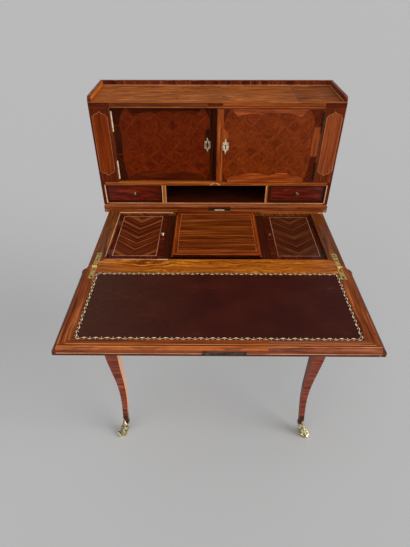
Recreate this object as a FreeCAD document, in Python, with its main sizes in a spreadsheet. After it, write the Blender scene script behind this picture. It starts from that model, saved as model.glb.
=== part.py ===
"""Bonheur du jour: a small writing desk with a folding flap and a two-door cabinet on top.

Every length is in millimetres.  +Z is up, +X is to the sitter's right and +Y runs from the sitter to the
wall.  The origin is on the floor, under the middle of the open desk.  Places along Y are counted from the
line on which the flap turns (the front of the case), and every piece is then moved by hinge_y.
"""
import FreeCAD, Part
import os

import Sketcher
from FreeCAD import Rotation, Vector

DOC = FreeCAD.newDocument("bonheur_du_jour")
SHEET = DOC.addObject("Spreadsheet::Sheet", "Sizes")
NODES = []
LEFT, RIGHT = -1, 1
NEAR = 0.1  # how near an edge lies to the face or level that it is picked by


# ---------------------------------------------------------------- sizes

class Size:
    """A length that keeps both its number and the sheet expression it is worked out by."""

    def __init__(self, number, text):
        self.number = float(number)
        self.text = text

    @staticmethod
    def of(value):
        return value if isinstance(value, Size) else Size(value, f"({value})")

    def _join(self, other, sign, number):
        return Size(number, f"({self.text} {sign} {Size.of(other).text})")

    def __add__(self, other):
        return self._join(other, "+", self.number + Size.of(other).number)

    def __sub__(self, other):
        return self._join(other, "-", self.number - Size.of(other).number)

    def __mul__(self, other):
        return self._join(other, "*", self.number * Size.of(other).number)

    def __truediv__(self, other):
        return self._join(other, "/", self.number / Size.of(other).number)

    def __radd__(self, other):
        return Size.of(other) + self

    def __rsub__(self, other):
        return Size.of(other) - self

    def __rmul__(self, other):
        return Size.of(other) * self

    def __neg__(self):
        return Size.of(0) - self


def size(alias, number):
    """Write one driving dimension into the sheet and give it back as a Size."""
    row = size.rows = getattr(size, "rows", 0) + 1
    SHEET.set(f"A{row}", alias)
    SHEET.set(f"B{row}", str(number))
    SHEET.setAlias(f"B{row}", alias)
    return Size(number, f"Sizes.{alias}")


# The whole desk
writing_height = size("writing_height", 735)
case_depth = size("case_depth", 445)
top_width = size("top_width", 650)
top_overhang = size("top_overhang", 11.5)
interior_depth = size("interior_depth", 265)
board_gap = size("board_gap", 0.6)
slide_gap = size("slide_gap", 0.5)
fit_gap = size("fit_gap", 0.3)
hinge_lift = size("hinge_lift", 0.3)

# Legs: a straight post, then square sections whose outer corner stands out (+) or in (-) from the post's
post_size = size("post_size", 42)
case_height = size("case_height", 107)
knee_height = size("knee_height", 525)
knee_out = size("knee_out", 7)
knee_size = size("knee_size", 44)
thigh_height = size("thigh_height", 400)
thigh_out = size("thigh_out", 6)
thigh_size = size("thigh_size", 35)
shin_height = size("shin_height", 245)
shin_out = size("shin_out", -7.5)
shin_size = size("shin_size", 22)
calf_height = size("calf_height", 150)
calf_out = size("calf_out", -8)
calf_size = size("calf_size", 18)
ankle_out = size("ankle_out", -3.5)
ankle_size = size("ankle_size", 15.5)
peg_size = size("peg_size", 9)
peg_length = size("peg_length", 18)

# Bronze shoes
shoe_height = size("shoe_height", 54)
shoe_collar = size("shoe_collar", 10.5)
shoe_waist_height = size("shoe_waist_height", 36)
shoe_waist = size("shoe_waist", 11)
shoe_waist_out = size("shoe_waist_out", -7.5)
shoe_instep_height = size("shoe_instep_height", 17)
shoe_instep = size("shoe_instep", 13.5)
shoe_instep_out = size("shoe_instep_out", -1)
shoe_sole = size("shoe_sole", 12.5)
shoe_sole_out = size("shoe_sole_out", 4)
shoe_clip = size("shoe_clip", 0.4)
toe_reach = size("toe_reach", 22)
toe_radius = size("toe_radius", 7.5)
toe_width = size("toe_width", 15)
toe_eye = size("toe_eye", 3)
toe_eye_width = size("toe_eye_width", 18)
diagonal = size("diagonal", 0.7071)

# Case
apron_thick = size("apron_thick", 18)
apron_drop = size("apron_drop", 24)
apron_scallop = size("apron_scallop", 46)
apron_pendant = size("apron_pendant", 42)
pendant_drop = size("pendant_drop", 14)
scoop_across = size("scoop_across", 0.3)
scoop_up = size("scoop_up", 0.7)
pendant_neck = size("pendant_neck", 0.5)
pendant_bulge = size("pendant_bulge", 1.25)
floor_thick = size("floor_thick", 8)
floor_rise = size("floor_rise", 12)
rail_thick = size("rail_thick", 8)
front_rail_depth = size("front_rail_depth", 31)
side_rail_width = size("side_rail_width", 35.5)
sub_top_depth = size("sub_top_depth", 7)
partition_face = size("partition_face", 137)
panel_half = size("panel_half", 115)
lid_ledge = size("lid_ledge", 8)
lid_thick = size("lid_thick", 9)

# Sliding panel of the middle well
panel_thick = size("panel_thick", 15)
panel_tongue = size("panel_tongue", 4.5)
panel_tongue_reach = size("panel_tongue_reach", 5.5)
panel_top_drop = size("panel_top_drop", 1.5)
panel_depth = size("panel_depth", 228)
panel_open_gap = size("panel_open_gap", 17)
panel_bevel = size("panel_bevel", 3)

# Lopers, the pull-out bearers of the flap, and their channels
loper_width = size("loper_width", 16)
loper_height = size("loper_height", 40)
loper_length = size("loper_length", 300)
loper_out = size("loper_out", 210)
loper_inset = size("loper_inset", 20)
loper_nose = size("loper_nose", 1.6)
channel_wall = size("channel_wall", 7)
channel_ledge = size("channel_ledge", 5)

# Flap
flap_thick = size("flap_thick", 22)
flap_corner_x = size("flap_corner_x", 10)
flap_corner_y = size("flap_corner_y", 20)
flap_corner_cut = size("flap_corner_cut", 0.2)
flap_top_round = size("flap_top_round", 10)
flap_under_round = size("flap_under_round", 4)
leather_side = size("leather_side", 37)
leather_front = size("leather_front", 26.5)
leather_rear = size("leather_rear", 24.5)
leather_recess = size("leather_recess", 1.5)
leather_thick = size("leather_thick", 1.3)

# Locks
lock_width = size("lock_width", 86)
lock_face = size("lock_face", 11)
lock_plate = size("lock_plate", 2)
lock_body_width = size("lock_body_width", 60)
lock_body_depth = size("lock_body_depth", 32)
lock_body_thick = size("lock_body_thick", 9)
bolt_slot_width = size("bolt_slot_width", 26)
bolt_slot_height = size("bolt_slot_height", 4)
bolt_slot_depth = size("bolt_slot_depth", 12)
strike_width = size("strike_width", 64)
lock_place = size("lock_place", 11)

# Flap hinges
flap_hinge_inset = size("flap_hinge_inset", 28)
flap_leaf_width = size("flap_leaf_width", 12)
flap_leaf_flare = size("flap_leaf_flare", 2)
flap_leaf_case = size("flap_leaf_case", 57)
flap_leaf_front = size("flap_leaf_front", 47)
flap_leaf_waist = size("flap_leaf_waist", 28)
flap_leaf_thick = size("flap_leaf_thick", 2)
flap_knuckle = size("flap_knuckle", 3.2)
flap_pin = size("flap_pin", 1.4)
knuckle_gap = size("knuckle_gap", 0.3)
pin_gap = size("pin_gap", 0.05)

# Slab under the cabinet
slab_groove = size("slab_groove", 1.6)
slab_groove_height = size("slab_groove_height", 2.4)
slab_edge = size("slab_edge", 3)

# Cabinet
cabinet_setback = size("cabinet_setback", 7.5)
cabinet_height = size("cabinet_height", 286)
cabinet_side = size("cabinet_side", 12.5)
cabinet_top_thick = size("cabinet_top_thick", 15)
cabinet_bottom_thick = size("cabinet_bottom_thick", 5)
cabinet_back_thick = size("cabinet_back_thick", 8)
shelf_height = size("shelf_height", 59.5)
shelf_thick = size("shelf_thick", 9)
divider_place = size("divider_place", 148)
divider_thick = size("divider_thick", 12)
pilaster_width = size("pilaster_width", 52.5)
pilaster_thick = size("pilaster_thick", 18)
gallery_height = size("gallery_height", 12)
gallery_thick = size("gallery_thick", 7)
gallery_setback = size("gallery_setback", 2)
gallery_round = size("gallery_round", 9)

# Doors
door_thick = size("door_thick", 16)
left_door_setback = size("left_door_setback", 10)
door_gap = size("door_gap", 0.5)
meeting_gap = size("meeting_gap", 1)
door_leaf_width = size("door_leaf_width", 14)
door_leaf_thick = size("door_leaf_thick", 1.5)
door_hinge_length = size("door_hinge_length", 52)
door_hinge_top = size("door_hinge_top", 10)
door_hinge_bottom = size("door_hinge_bottom", 8)
door_knuckle = size("door_knuckle", 2.6)
door_pin = size("door_pin", 1.2)
escutcheon_thick = size("escutcheon_thick", 1.2)
escutcheon_place = size("escutcheon_place", 24)
escutcheon_width = size("escutcheon_width", 18)
escutcheon_left_height = size("escutcheon_left_height", 38)
escutcheon_right_height = size("escutcheon_right_height", 40)
escutcheon_left_z = size("escutcheon_left_z", 173)
escutcheon_right_z = size("escutcheon_right_z", 172.5)
escutcheon_hollow = size("escutcheon_hollow", 0.46)
keyhole_radius = size("keyhole_radius", 2.2)
keyhole_slot = size("keyhole_slot", 2)
keyhole_drop = size("keyhole_drop", 7)
door_lock_width = size("door_lock_width", 40)
door_lock_height = size("door_lock_height", 60)
door_lock_thick = size("door_lock_thick", 8)
door_lock_edge = size("door_lock_edge", 1)

# Drawers
drawer_setback = size("drawer_setback", 6)
drawer_front_thick = size("drawer_front_thick", 14)
drawer_rear_gap = size("drawer_rear_gap", 11.9)
drawer_wall = size("drawer_wall", 6)
drawer_bottom = size("drawer_bottom", 4)
drawer_tray_drop = size("drawer_tray_drop", 4)
knob_foot = size("knob_foot", 4)
knob_foot_thick = size("knob_foot_thick", 2)
knob_neck = size("knob_neck", 2.2)
knob_stem = size("knob_stem", 5)
knob_bulge = size("knob_bulge", 8.4)
knob_crown = size("knob_crown", 3.4)
knob_radius = size("knob_radius", 5.5)
knob_length = size("knob_length", 12)
lid_knob_place = size("lid_knob_place", 145.5)
lid_knob_y = size("lid_knob_y", 154.5)
lid_knob_radius = size("lid_knob_radius", 4.6)
lid_knob_height = size("lid_knob_height", 7)
lid_knob_foot = size("lid_knob_foot", 3.2)
lid_knob_neck = size("lid_knob_neck", 2)
lid_knob_neck_z = size("lid_knob_neck_z", 2.2)
lid_knob_bulge_z = size("lid_knob_bulge_z", 4.8)
lid_knob_crown = size("lid_knob_crown", 3)

# Lid hinges
lid_hinge_length = size("lid_hinge_length", 22)
lid_hinge_front = size("lid_hinge_front", 62)
lid_hinge_rear = size("lid_hinge_rear", 205)
lid_leaf_width = size("lid_leaf_width", 12)
lid_leaf_thick = size("lid_leaf_thick", 1.2)
lid_knuckle = size("lid_knuckle", 1.6)
lid_pin = size("lid_pin", 0.7)
lid_leaf_margin = size("lid_leaf_margin", 1)

# Worked out from the sizes above
hinge_y = (interior_depth - case_depth - toe_reach) / 2
half_top = top_width / 2
half_case = half_top - top_overhang
rail_bottom = writing_height - rail_thick
apron_bottom = rail_bottom - case_height
floor_height = apron_bottom + floor_rise
well_edge = half_case - side_rail_width
loper_place = well_edge - loper_inset
flap_hinge_place = half_top - flap_hinge_inset
flap_bottom = writing_height - flap_thick
flap_pivot = writing_height + hinge_lift
slab_thick = flap_thick + hinge_lift * 2
slab_top = writing_height + slab_thick
slab_front = interior_depth + board_gap
sub_top_front = slab_front - sub_top_depth
well_floor_top = floor_height + floor_thick
apron_inner = half_case - apron_thick
post_inner = half_case - post_size
rear_apron_front = case_depth - apron_thick
lid_bottom = rail_bottom - lid_thick
cabinet_front = slab_front + cabinet_setback
cabinet_back_front = case_depth - cabinet_back_thick
cabinet_inner = half_top - cabinet_side
cabinet_floor = slab_top + cabinet_bottom_thick
shelf_bottom = slab_top + shelf_height
shelf_top = shelf_bottom + shelf_thick
cabinet_roof = slab_top + cabinet_height
door_top = cabinet_roof - cabinet_top_thick
opening_half = half_top - pilaster_width
panel_top = writing_height - panel_top_drop
panel_bottom = panel_top - panel_thick
panel_front = front_rail_depth + panel_open_gap


# ---------------------------------------------------------------- making things in the document

def node(thing, name):
    """Name a finished piece; the name is its file's name too."""
    thing.Label = name
    NODES.append(thing)
    return thing


def bind(thing, **properties):
    """Tie properties to the sheet; a double underscore stands for the dot of a nested property."""
    for name, value in properties.items():
        thing.setExpression(name.replace("__", "."), Size.of(value).text)


def place(thing, x, y, z):
    """Put a piece at x, z and y behind the hinge line."""
    bind(thing, Placement__Base__x=x, Placement__Base__y=hinge_y + y, Placement__Base__z=z)
    return thing


def new_body(name):
    body = DOC.addObject("PartDesign::Body", name)
    bind(body, Placement__Base__y=hinge_y)
    return body


def new_sketch(body, plane, level):
    """A sketch on one of the body's own planes, at a level along that plane's normal axis."""
    sketch = body.newObject("Sketcher::SketchObject", f"{body.Name}_{plane}")
    role = f"{plane}_Plane"
    origin_plane = next(f for f in body.Origin.OriginFeatures if f.Role == role)
    sketch.AttachmentSupport = [(origin_plane, "")]
    sketch.MapMode = "FlatFace"
    along_normal = -Size.of(level) if plane == "XZ" else Size.of(level)
    bind(sketch, AttachmentOffset__Base__z=along_normal)
    return sketch


class Rules:
    """The constraints of one sketch, given to it together so that nothing moves between two of them."""

    def __init__(self, sketch):
        self.sketch = sketch
        self.rules = []
        self.bound = {}

    def add(self, kind, *details):
        self.rules.append(Sketcher.Constraint(kind, *details))

    def bind(self, kind, *details, value):
        """A dimension that is tied to the sheet."""
        self.bound[len(self.rules)] = value.text
        self.add(kind, *details, value.number)

    def hold(self, geometry, position, x, y):
        """Fix one point at x, y from the sketch's origin."""
        self.bind("DistanceX", -1, 1, geometry, position, value=Size.of(x))
        self.bind("DistanceY", -1, 1, geometry, position, value=Size.of(y))

    def apply(self):
        self.sketch.addConstraint(self.rules)
        for index, text in self.bound.items():
            self.sketch.renameConstraint(index, f"size{index}")
            self.sketch.setExpression(f"Constraints.size{index}", text)
        return self.sketch


def vector(point):
    return Vector(Size.of(point[0]).number, Size.of(point[1]).number, 0)


def outline(sketch, points):
    """Draw a closed outline.  A point is (x, y), or (x, y, (mx, my)) where an arc through mx, my starts."""
    rules = Rules(sketch)
    ends = []
    for here, after in zip(points, points[1:] + points[:1]):
        first, last = vector(here), vector(after)
        if len(here) == 2:
            ends.append((sketch.addGeometry(Part.LineSegment(first, last)), 1, 2))
            continue
        middle = vector(here[2])
        if (last - first).cross(middle - first).z < 0:
            ends.append((sketch.addGeometry(Part.Arc(first, middle, last)), 1, 2))
        else:
            ends.append((sketch.addGeometry(Part.Arc(last, middle, first)), 2, 1))
    for (index, start, _), (before, _, end), point in zip(ends, ends[-1:] + ends[:-1], points):
        rules.add("Coincident", before, end, index, start)
        rules.hold(index, start, point[0], point[1])
    for (index, _, _), point in zip(ends, points):
        if len(point) == 3:
            through = sketch.addGeometry(Part.Point(vector(point[2])), True)
            rules.hold(through, 1, *point[2])
            rules.add("PointOnObject", through, 1, index)
    return rules.apply()


def circle(sketch, x, y, radius):
    rules = Rules(sketch)
    radius = Size.of(radius)
    index = sketch.addGeometry(Part.Circle(vector((x, y)), Vector(0, 0, 1), radius.number))
    rules.hold(index, 3, x, y)
    rules.bind("Radius", index, value=radius)
    return rules.apply()


def rectangle(across, up):
    """Corner points of a rectangle from two (low, high) pairs."""
    return [(across[0], up[0]), (across[1], up[0]), (across[1], up[1]), (across[0], up[1])]


def pad(body, plane, points, low, high):
    """Add material between two levels along the plane's normal axis."""
    sketch = outline(new_sketch(body, plane, high if plane == "XZ" else low), points)
    feature = body.newObject("PartDesign::Pad", f"{body.Name}_pad")
    feature.Profile = sketch
    bind(feature, Length=high - low)
    DOC.recompute()
    return feature


def cut(body, plane, points, low, high):
    """Take material away between two levels along the plane's normal axis."""
    sketch = outline(new_sketch(body, plane, low if plane == "XZ" else high), points)
    feature = body.newObject("PartDesign::Pocket", f"{body.Name}_cut")
    feature.Profile = sketch
    bind(feature, Length=high - low)
    DOC.recompute()
    return feature


def loft(body, sections, subtract=False):
    kind = "PartDesign::SubtractiveLoft" if subtract else "PartDesign::AdditiveLoft"
    feature = body.newObject(kind, f"{body.Name}_loft")
    feature.Profile = sections[0]
    feature.Sections = sections[1:]
    DOC.recompute()
    return feature


def edges(feature, wanted):
    """Names of the feature's edges whose bounding box passes a test."""
    return [f"Edge{i}" for i, edge in enumerate(feature.Shape.Edges, 1) if wanted(edge.BoundBox)]


def soften(body, feature, wanted, width, kind="Fillet"):
    """Round or chamfer the edges of a feature that pass a test."""
    DOC.recompute()
    dressed = body.newObject(f"PartDesign::{kind}", f"{body.Name}_{kind.lower()}")
    dressed.Base = (feature, edges(feature, wanted))
    bind(dressed, **{"Radius" if kind == "Fillet" else "Size": width})
    DOC.recompute()
    return dressed


def board(name, x, y, z):
    """A plain rectangular board from three (low, high) pairs."""
    piece = DOC.addObject("Part::Box", name)
    bind(piece, Length=x[1] - x[0], Width=y[1] - y[0], Height=z[1] - z[0])
    return place(piece, x[0], y[0], z[0])


def board_body(name, x, y, z):
    """A rectangular board that is cut into later."""
    body = new_body(name)
    pad(body, "XY", rectangle(x, y), Size.of(z[0]), Size.of(z[1]))
    return body


TURNS = {"x": Rotation(Vector(0, 1, 0), 90), "y": Rotation(Vector(1, 0, 0), -90), "z": Rotation()}


def rod(name, axis, start, end, centre, radius):
    """A cylinder along one axis from start to end; centre is its place on the other two axes."""
    piece = DOC.addObject("Part::Cylinder", name)
    piece.Placement.Rotation = TURNS[axis]
    bind(piece, Radius=radius, Height=end - start)
    at = dict(zip([a for a in "xyz" if a != axis], centre))
    at[axis] = start
    return place(piece, at["x"], at["y"], at["z"])


def fused(name, pieces):
    joined = DOC.addObject("Part::MultiFuse", name)
    joined.Shapes = pieces
    return joined


def less(name, base, tool):
    remainder = DOC.addObject("Part::Cut", name)
    remainder.Base, remainder.Tool = base, tool
    return remainder


def group(name, pieces):
    """Several separate solids that share a node."""
    together = DOC.addObject("Part::Compound", name)
    together.Links = pieces
    return node(together, name)


def mirrored(source, name, normal, base_y=None):
    """The same piece for the other side; base_y is the mirror's place behind the hinge line."""
    twin = DOC.addObject("Part::Mirroring", name)
    twin.Source = source
    twin.Normal = normal
    if base_y is not None:
        bind(twin, Base__y=hinge_y + base_y)
    return node(twin, name)


ACROSS, ALONG = Vector(1, 0, 0), Vector(0, 1, 0)


def side(sign, low, high):
    """A (low, high) pair on the right, or its mirror image on the left."""
    return (low, high) if sign > 0 else (-high, -low)


# ---------------------------------------------------------------- legs and shoes

def leg_section(body, height, out, width):
    """A square across the leg, its outer corner set out from the case's front right corner."""
    outer = half_case + out
    sketch = new_sketch(body, "XY", height)
    return outline(sketch, rectangle((outer - width, outer), (-Size.of(out), width - out)))


def make_legs():
    leg = new_body("leg")
    pad(leg, "XY", rectangle((post_inner, half_case), (Size.of(0), post_size)), apron_bottom, rail_bottom)
    stations = [
        (apron_bottom, Size.of(0), post_size),
        (knee_height, knee_out, knee_size),
        (thigh_height, thigh_out, thigh_size),
        (shin_height, shin_out, shin_size),
        (calf_height, calf_out, calf_size),
        (shoe_height, ankle_out, ankle_size),
    ]
    loft(leg, [leg_section(leg, *station) for station in stations])
    centre_x = half_case + ankle_out - ankle_size / 2
    centre_y = ankle_size / 2 - ankle_out
    half_peg = peg_size / 2
    peg = rectangle((centre_x - half_peg, centre_x + half_peg), (centre_y - half_peg, centre_y + half_peg))
    pad(leg, "XY", peg, shoe_height - peg_length, shoe_height)
    corner = board("lid_corner", (post_inner, well_edge), (front_rail_depth, post_size),
                   (lid_bottom, rail_bottom))
    front = node(less("front_leg", leg, corner), "leg_front_right")
    mirrored(front, "leg_front_left", ACROSS)
    mirrored(leg, "leg_back_right", ALONG, case_depth / 2)
    mirrored(NODES[-2], "leg_back_left", ALONG, case_depth / 2)
    return peg


def clipped_square(x, y, half):
    """Plan of a square with its corners cut off, so that it has eight sides."""
    flat = half * (1 - shoe_clip)
    return [(x - flat, y - half), (x + flat, y - half), (x + half, y - flat), (x + half, y + flat),
            (x + flat, y + half), (x - flat, y + half), (x - half, y + flat), (x - half, y - flat)]


def toe_roll(name, radius, width):
    """A roll of the toe's scroll, level and square to the way the foot points."""
    roll = DOC.addObject("Part::Cylinder", name)
    roll.Placement.Rotation = Rotation(Vector(0, 0, 1), 45) * TURNS["x"]
    bind(roll, Radius=radius, Height=width)
    out = toe_reach - (toe_radius + toe_width / 2) * diagonal
    back = width / 2 * diagonal
    return place(roll, half_case + out - back, -out - back, toe_radius)


def make_shoes(peg):
    """Cast shoes: a lofted body round the leg's peg, which ends in a scrolled toe."""
    shoe = new_body("shoe")
    ankle = ankle_out - ankle_size / 2
    stations = [
        (shoe_height, ankle, shoe_collar),
        (shoe_waist_height, shoe_waist_out, shoe_waist),
        (shoe_instep_height, shoe_instep_out, shoe_instep),
        (Size.of(0), shoe_sole_out, shoe_sole),
    ]
    rings = []
    for height, out, half in stations:
        points = clipped_square(half_case + out, -out, half)
        rings.append(outline(new_sketch(shoe, "XY", height), points))
    loft(shoe, rings)
    cut(shoe, "XY", peg, shoe_height - peg_length, shoe_height)
    cast = fused("cast_shoe", [shoe, toe_roll("toe", toe_radius, toe_width),
                               toe_roll("toe_eyes", toe_eye, toe_eye_width)])
    node(cast, "sabot_front_right")
    mirrored(cast, "sabot_front_left", ACROSS)
    mirrored(cast, "sabot_back_right", ALONG, case_depth / 2)
    mirrored(NODES[-2], "sabot_back_left", ALONG, case_depth / 2)


# ---------------------------------------------------------------- case

def apron_outline(half, top, pendant):
    """A shaped apron: scooped rises beside the legs and, where asked, a small pendant in the middle."""
    low, high = apron_bottom, apron_bottom + apron_drop
    scoop_x, scoop_z = half - apron_scallop * scoop_across, low + apron_drop * scoop_up
    inner = half - apron_scallop
    points = [(-half, top), (-half, low, (-scoop_x, scoop_z)), (-inner, high)]
    if pendant:
        neck = apron_pendant * pendant_neck
        tip = high - pendant_drop
        flank_x, flank_z = apron_pendant - neck * scoop_up, high - pendant_drop * scoop_across
        points += [(-apron_pendant, high, (-flank_x, flank_z)),
                   (-neck * pendant_neck, tip, (Size.of(0), high - pendant_drop * pendant_bulge)),
                   (neck * pendant_neck, tip, (flank_x, flank_z)),
                   (apron_pendant, high)]
    points += [(inner, high, (scoop_x, scoop_z)), (half, low), (half, top)]
    return points


def make_aprons():
    front = new_body("front_apron")
    pad(front, "XZ", apron_outline(post_inner, rail_bottom, True), Size.of(0), apron_thick)
    slot_z = (flap_bottom - fit_gap * 2 - loper_height, flap_bottom)
    for sign in (LEFT, RIGHT):
        slot_x = side(sign, loper_place - loper_width / 2 - fit_gap, loper_place + loper_width / 2 + fit_gap)
        cut(front, "XZ", rectangle(slot_x, slot_z), Size.of(0), apron_thick)
    node(front, "apron_front")
    back = new_body("back_apron")
    pad(back, "XZ", rectangle((-post_inner, post_inner), (apron_bottom, writing_height)),
        rear_apron_front, case_depth)
    node(back, "apron_back")
    flank = new_body("side_apron")
    half = case_depth / 2
    points = [(p[0] + half, p[1]) if len(p) == 2 else (p[0] + half, p[1], (p[2][0] + half, p[2][1]))
              for p in apron_outline(half - post_size, rail_bottom, False)]
    pad(flank, "YZ", points, apron_inner, half_case)
    node(flank, "apron_right")
    mirrored(flank, "apron_left", ACROSS)


def make_well_floor():
    floor = new_body("floor")
    back, corner = rear_apron_front, case_depth - post_size
    points = [(-post_inner, apron_thick), (post_inner, apron_thick), (post_inner, post_size),
              (apron_inner, post_size), (apron_inner, corner), (post_inner, corner), (post_inner, back),
              (-post_inner, back), (-post_inner, corner), (-apron_inner, corner), (-apron_inner, post_size),
              (-post_inner, post_size)]
    pad(floor, "XY", points, floor_height, well_floor_top)
    node(floor, "well_floor")


def make_partition():
    """Wall between two wells: a ledge for the lid outside, a groove for the panel's tongue inside."""
    wall = new_body("partition")
    inner = panel_half + fit_gap
    groove = (panel_bottom - fit_gap, panel_bottom + panel_tongue + fit_gap)
    depth = inner + panel_tongue_reach + fit_gap
    points = [(inner, well_floor_top), (partition_face + lid_ledge, well_floor_top),
              (partition_face + lid_ledge, lid_bottom), (partition_face, lid_bottom),
              (partition_face, rail_bottom), (inner, rail_bottom), (inner, groove[1]), (depth, groove[1]),
              (depth, groove[0]), (inner, groove[0])]
    pad(wall, "XZ", points, apron_thick, rear_apron_front)
    node(wall, "partition_right")
    mirrored(wall, "partition_left", ACROSS)


def make_well_walls():
    """Outer walls of the side wells; each is a channel in which a loper runs."""
    wall = new_body("well_wall")
    inner = loper_place - loper_width / 2 - fit_gap - channel_wall
    face, reach = inner + channel_wall, inner + channel_wall + loper_width + fit_gap * 2
    low, high = flap_bottom - fit_gap * 2 - loper_height, flap_bottom
    points = [(inner, well_floor_top), (face, well_floor_top), (face, low - channel_ledge),
              (reach, low - channel_ledge), (reach, low), (face, low), (face, high), (reach, high),
              (reach, lid_bottom), (inner, lid_bottom)]
    pad(wall, "XZ", points, apron_thick, rear_apron_front)
    twin = DOC.addObject("Part::Mirroring", "well_wall_twin")
    twin.Source = wall
    twin.Normal = ACROSS
    group("well_walls", [twin, wall])


def flap_leaf_recess(sign):
    """Plan outline of the sunk case leaf of a flap hinge."""
    low, high = side(sign, flap_hinge_place - flap_leaf_width / 2, flap_hinge_place + flap_leaf_width / 2)
    return rectangle((low, high), (Size.of(0), flap_leaf_case))


def knuckle_notch(sign, front, back):
    """Plan outline of the room for a flap hinge's knuckles."""
    reach = flap_leaf_width / 2 + knuckle_gap
    low, high = side(sign, flap_hinge_place - reach, flap_hinge_place + reach)
    return rectangle((low, high), (front, back))


def make_rails():
    """The frame round the wells: a mitred front rail, and side rails that widen under the slab."""
    notch_back = flap_knuckle + knuckle_gap
    notch_low = flap_pivot - flap_knuckle - knuckle_gap
    leaf_low = writing_height - flap_leaf_thick
    front = new_body("rail")
    pad(front, "XY", [(-half_case, Size.of(0)), (half_case, Size.of(0)), (well_edge, front_rail_depth),
                      (-well_edge, front_rail_depth)], rail_bottom, writing_height)
    for sign in (LEFT, RIGHT):
        cut(front, "XY", flap_leaf_recess(sign), leaf_low, writing_height)
        cut(front, "XY", knuckle_notch(sign, Size.of(0), notch_back), notch_low, writing_height)
    node(front, "front_rail")
    flank = new_body("side_rail")
    inner = panel_half + fit_gap
    pad(flank, "XY", [(half_case, Size.of(0)), (half_case, case_depth), (post_inner, case_depth),
                      (post_inner, rear_apron_front), (inner, rear_apron_front), (inner, sub_top_front),
                      (well_edge, sub_top_front), (well_edge, front_rail_depth)], rail_bottom, writing_height)
    cut(flank, "XY", flap_leaf_recess(RIGHT), leaf_low, writing_height)
    lid_room = rail_bottom + hinge_lift
    for start in (lid_hinge_front, lid_hinge_rear):
        along = (start - knuckle_gap, start + lid_hinge_length + knuckle_gap)
        cut(flank, "XY", rectangle((well_edge, well_edge + lid_leaf_thick), along), lid_room, writing_height)
        cut(flank, "XY", rectangle((well_edge, well_edge + lid_knuckle + knuckle_gap), along),
            rail_bottom, rail_bottom + hinge_lift + lid_knuckle + knuckle_gap)
    node(flank, "side_rail_right")
    mirrored(flank, "side_rail_left", ACROSS)


def make_slab():
    slab = new_body("slab_body")
    base = pad(slab, "XY", rectangle((-half_top, half_top), (slab_front, case_depth)),
               writing_height, slab_top)
    back, top = case_depth.number, slab_top.number
    soften(slab, base, lambda box: box.ZMin > top - NEAR and box.YMin < back - NEAR, slab_edge, "Chamfer")
    low = writing_height + slab_thick / 2 - slab_groove_height / 2
    high = low + slab_groove_height
    cut(slab, "XY", rectangle((-half_top, half_top), (slab_front, slab_front + slab_groove)), low, high)
    for sign in (LEFT, RIGHT):
        cut(slab, "XY", rectangle(side(sign, half_top - slab_groove, half_top), (slab_front, case_depth)),
            low, high)
    plate_x = (lock_place - strike_width / 2, lock_place + strike_width / 2)
    middle = writing_height + slab_thick / 2
    plate_z = (middle - lock_face / 2, middle + lock_face / 2)
    cut(slab, "XZ", rectangle(plate_x, plate_z), slab_front, slab_front + lock_plate)
    slot_x = (lock_place - bolt_slot_width / 2, lock_place + bolt_slot_width / 2)
    slot_z = (middle - bolt_slot_height / 2, middle + bolt_slot_height / 2)
    cut(slab, "XZ", rectangle(slot_x, slot_z), slab_front, slab_front + lock_plate + bolt_slot_depth)
    node(slab, "slab")
    strike = new_body("strike")
    pad(strike, "XZ", rectangle(plate_x, plate_z), slab_front, slab_front + lock_plate)
    cut(strike, "XZ", rectangle(slot_x, slot_z), slab_front, slab_front + lock_plate)
    node(strike, "lock_strike")


# ---------------------------------------------------------------- what moves in the case

def make_lopers():
    low = flap_bottom - fit_gap - loper_height
    width = (loper_place - loper_width / 2, loper_place + loper_width / 2)
    bar = board_body("loper", width, (-loper_out, loper_length - loper_out), (low, low + loper_height))
    front = -loper_out.number
    soften(bar, bar.Tip, lambda box: box.YMax < front + NEAR, loper_nose, "Chamfer")
    node(bar, "loper_right")
    mirrored(bar, "loper_left", ACROSS)


def make_panel():
    """Sliding panel of the middle well, with tongues that run in the partitions' grooves."""
    panel = new_body("panel")
    tongue_top = panel_bottom + panel_tongue
    wide = panel_half + panel_tongue_reach
    half = panel_half - fit_gap
    points = [(-wide, panel_bottom), (wide, panel_bottom), (wide, tongue_top), (half, tongue_top),
              (half, panel_top), (-half, panel_top), (-half, tongue_top), (-wide, tongue_top)]
    base = pad(panel, "XZ", points, panel_front, panel_front + panel_depth)
    top = panel_top.number
    soften(panel, base, lambda box: box.ZMin > top - NEAR, panel_bevel, "Chamfer")
    node(panel, "sliding_panel")


def make_lids():
    x = (partition_face + board_gap, well_edge - board_gap)
    y = (front_rail_depth + board_gap, sub_top_front - board_gap)
    lid = board_body("lid", x, y, (lid_bottom + fit_gap, rail_bottom))
    for start in (lid_hinge_front, lid_hinge_rear):
        along = (start - knuckle_gap, start + lid_hinge_length + knuckle_gap)
        outer = well_edge - board_gap
        leaf_x = (well_edge - hinge_lift - lid_leaf_width, outer)
        cut(lid, "XY", rectangle(leaf_x, along), rail_bottom - lid_leaf_thick, rail_bottom)
        room = lid_knuckle + knuckle_gap
        cut(lid, "XY", rectangle((well_edge - hinge_lift - room, outer), along),
            rail_bottom + hinge_lift - room, rail_bottom)
    node(lid, "lid_right")
    mirrored(lid, "lid_left", ACROSS)


def turned_knob(name, profile):
    """A knob turned on its own axis; the profile (radius, height) rises from the foot to the crown."""
    knob = DOC.addObject("PartDesign::Body", name)
    ends = [(Size.of(0), profile[-1][1]), (Size.of(0), Size.of(0))]
    sketch = outline(new_sketch(knob, "XZ", Size.of(0)), profile + ends)
    turn = knob.newObject("PartDesign::Revolution", f"{name}_turn")
    turn.Profile = sketch
    turn.ReferenceAxis = (sketch, ["V_Axis"])
    turn.Angle = 360
    DOC.recompute()
    return knob


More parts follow.
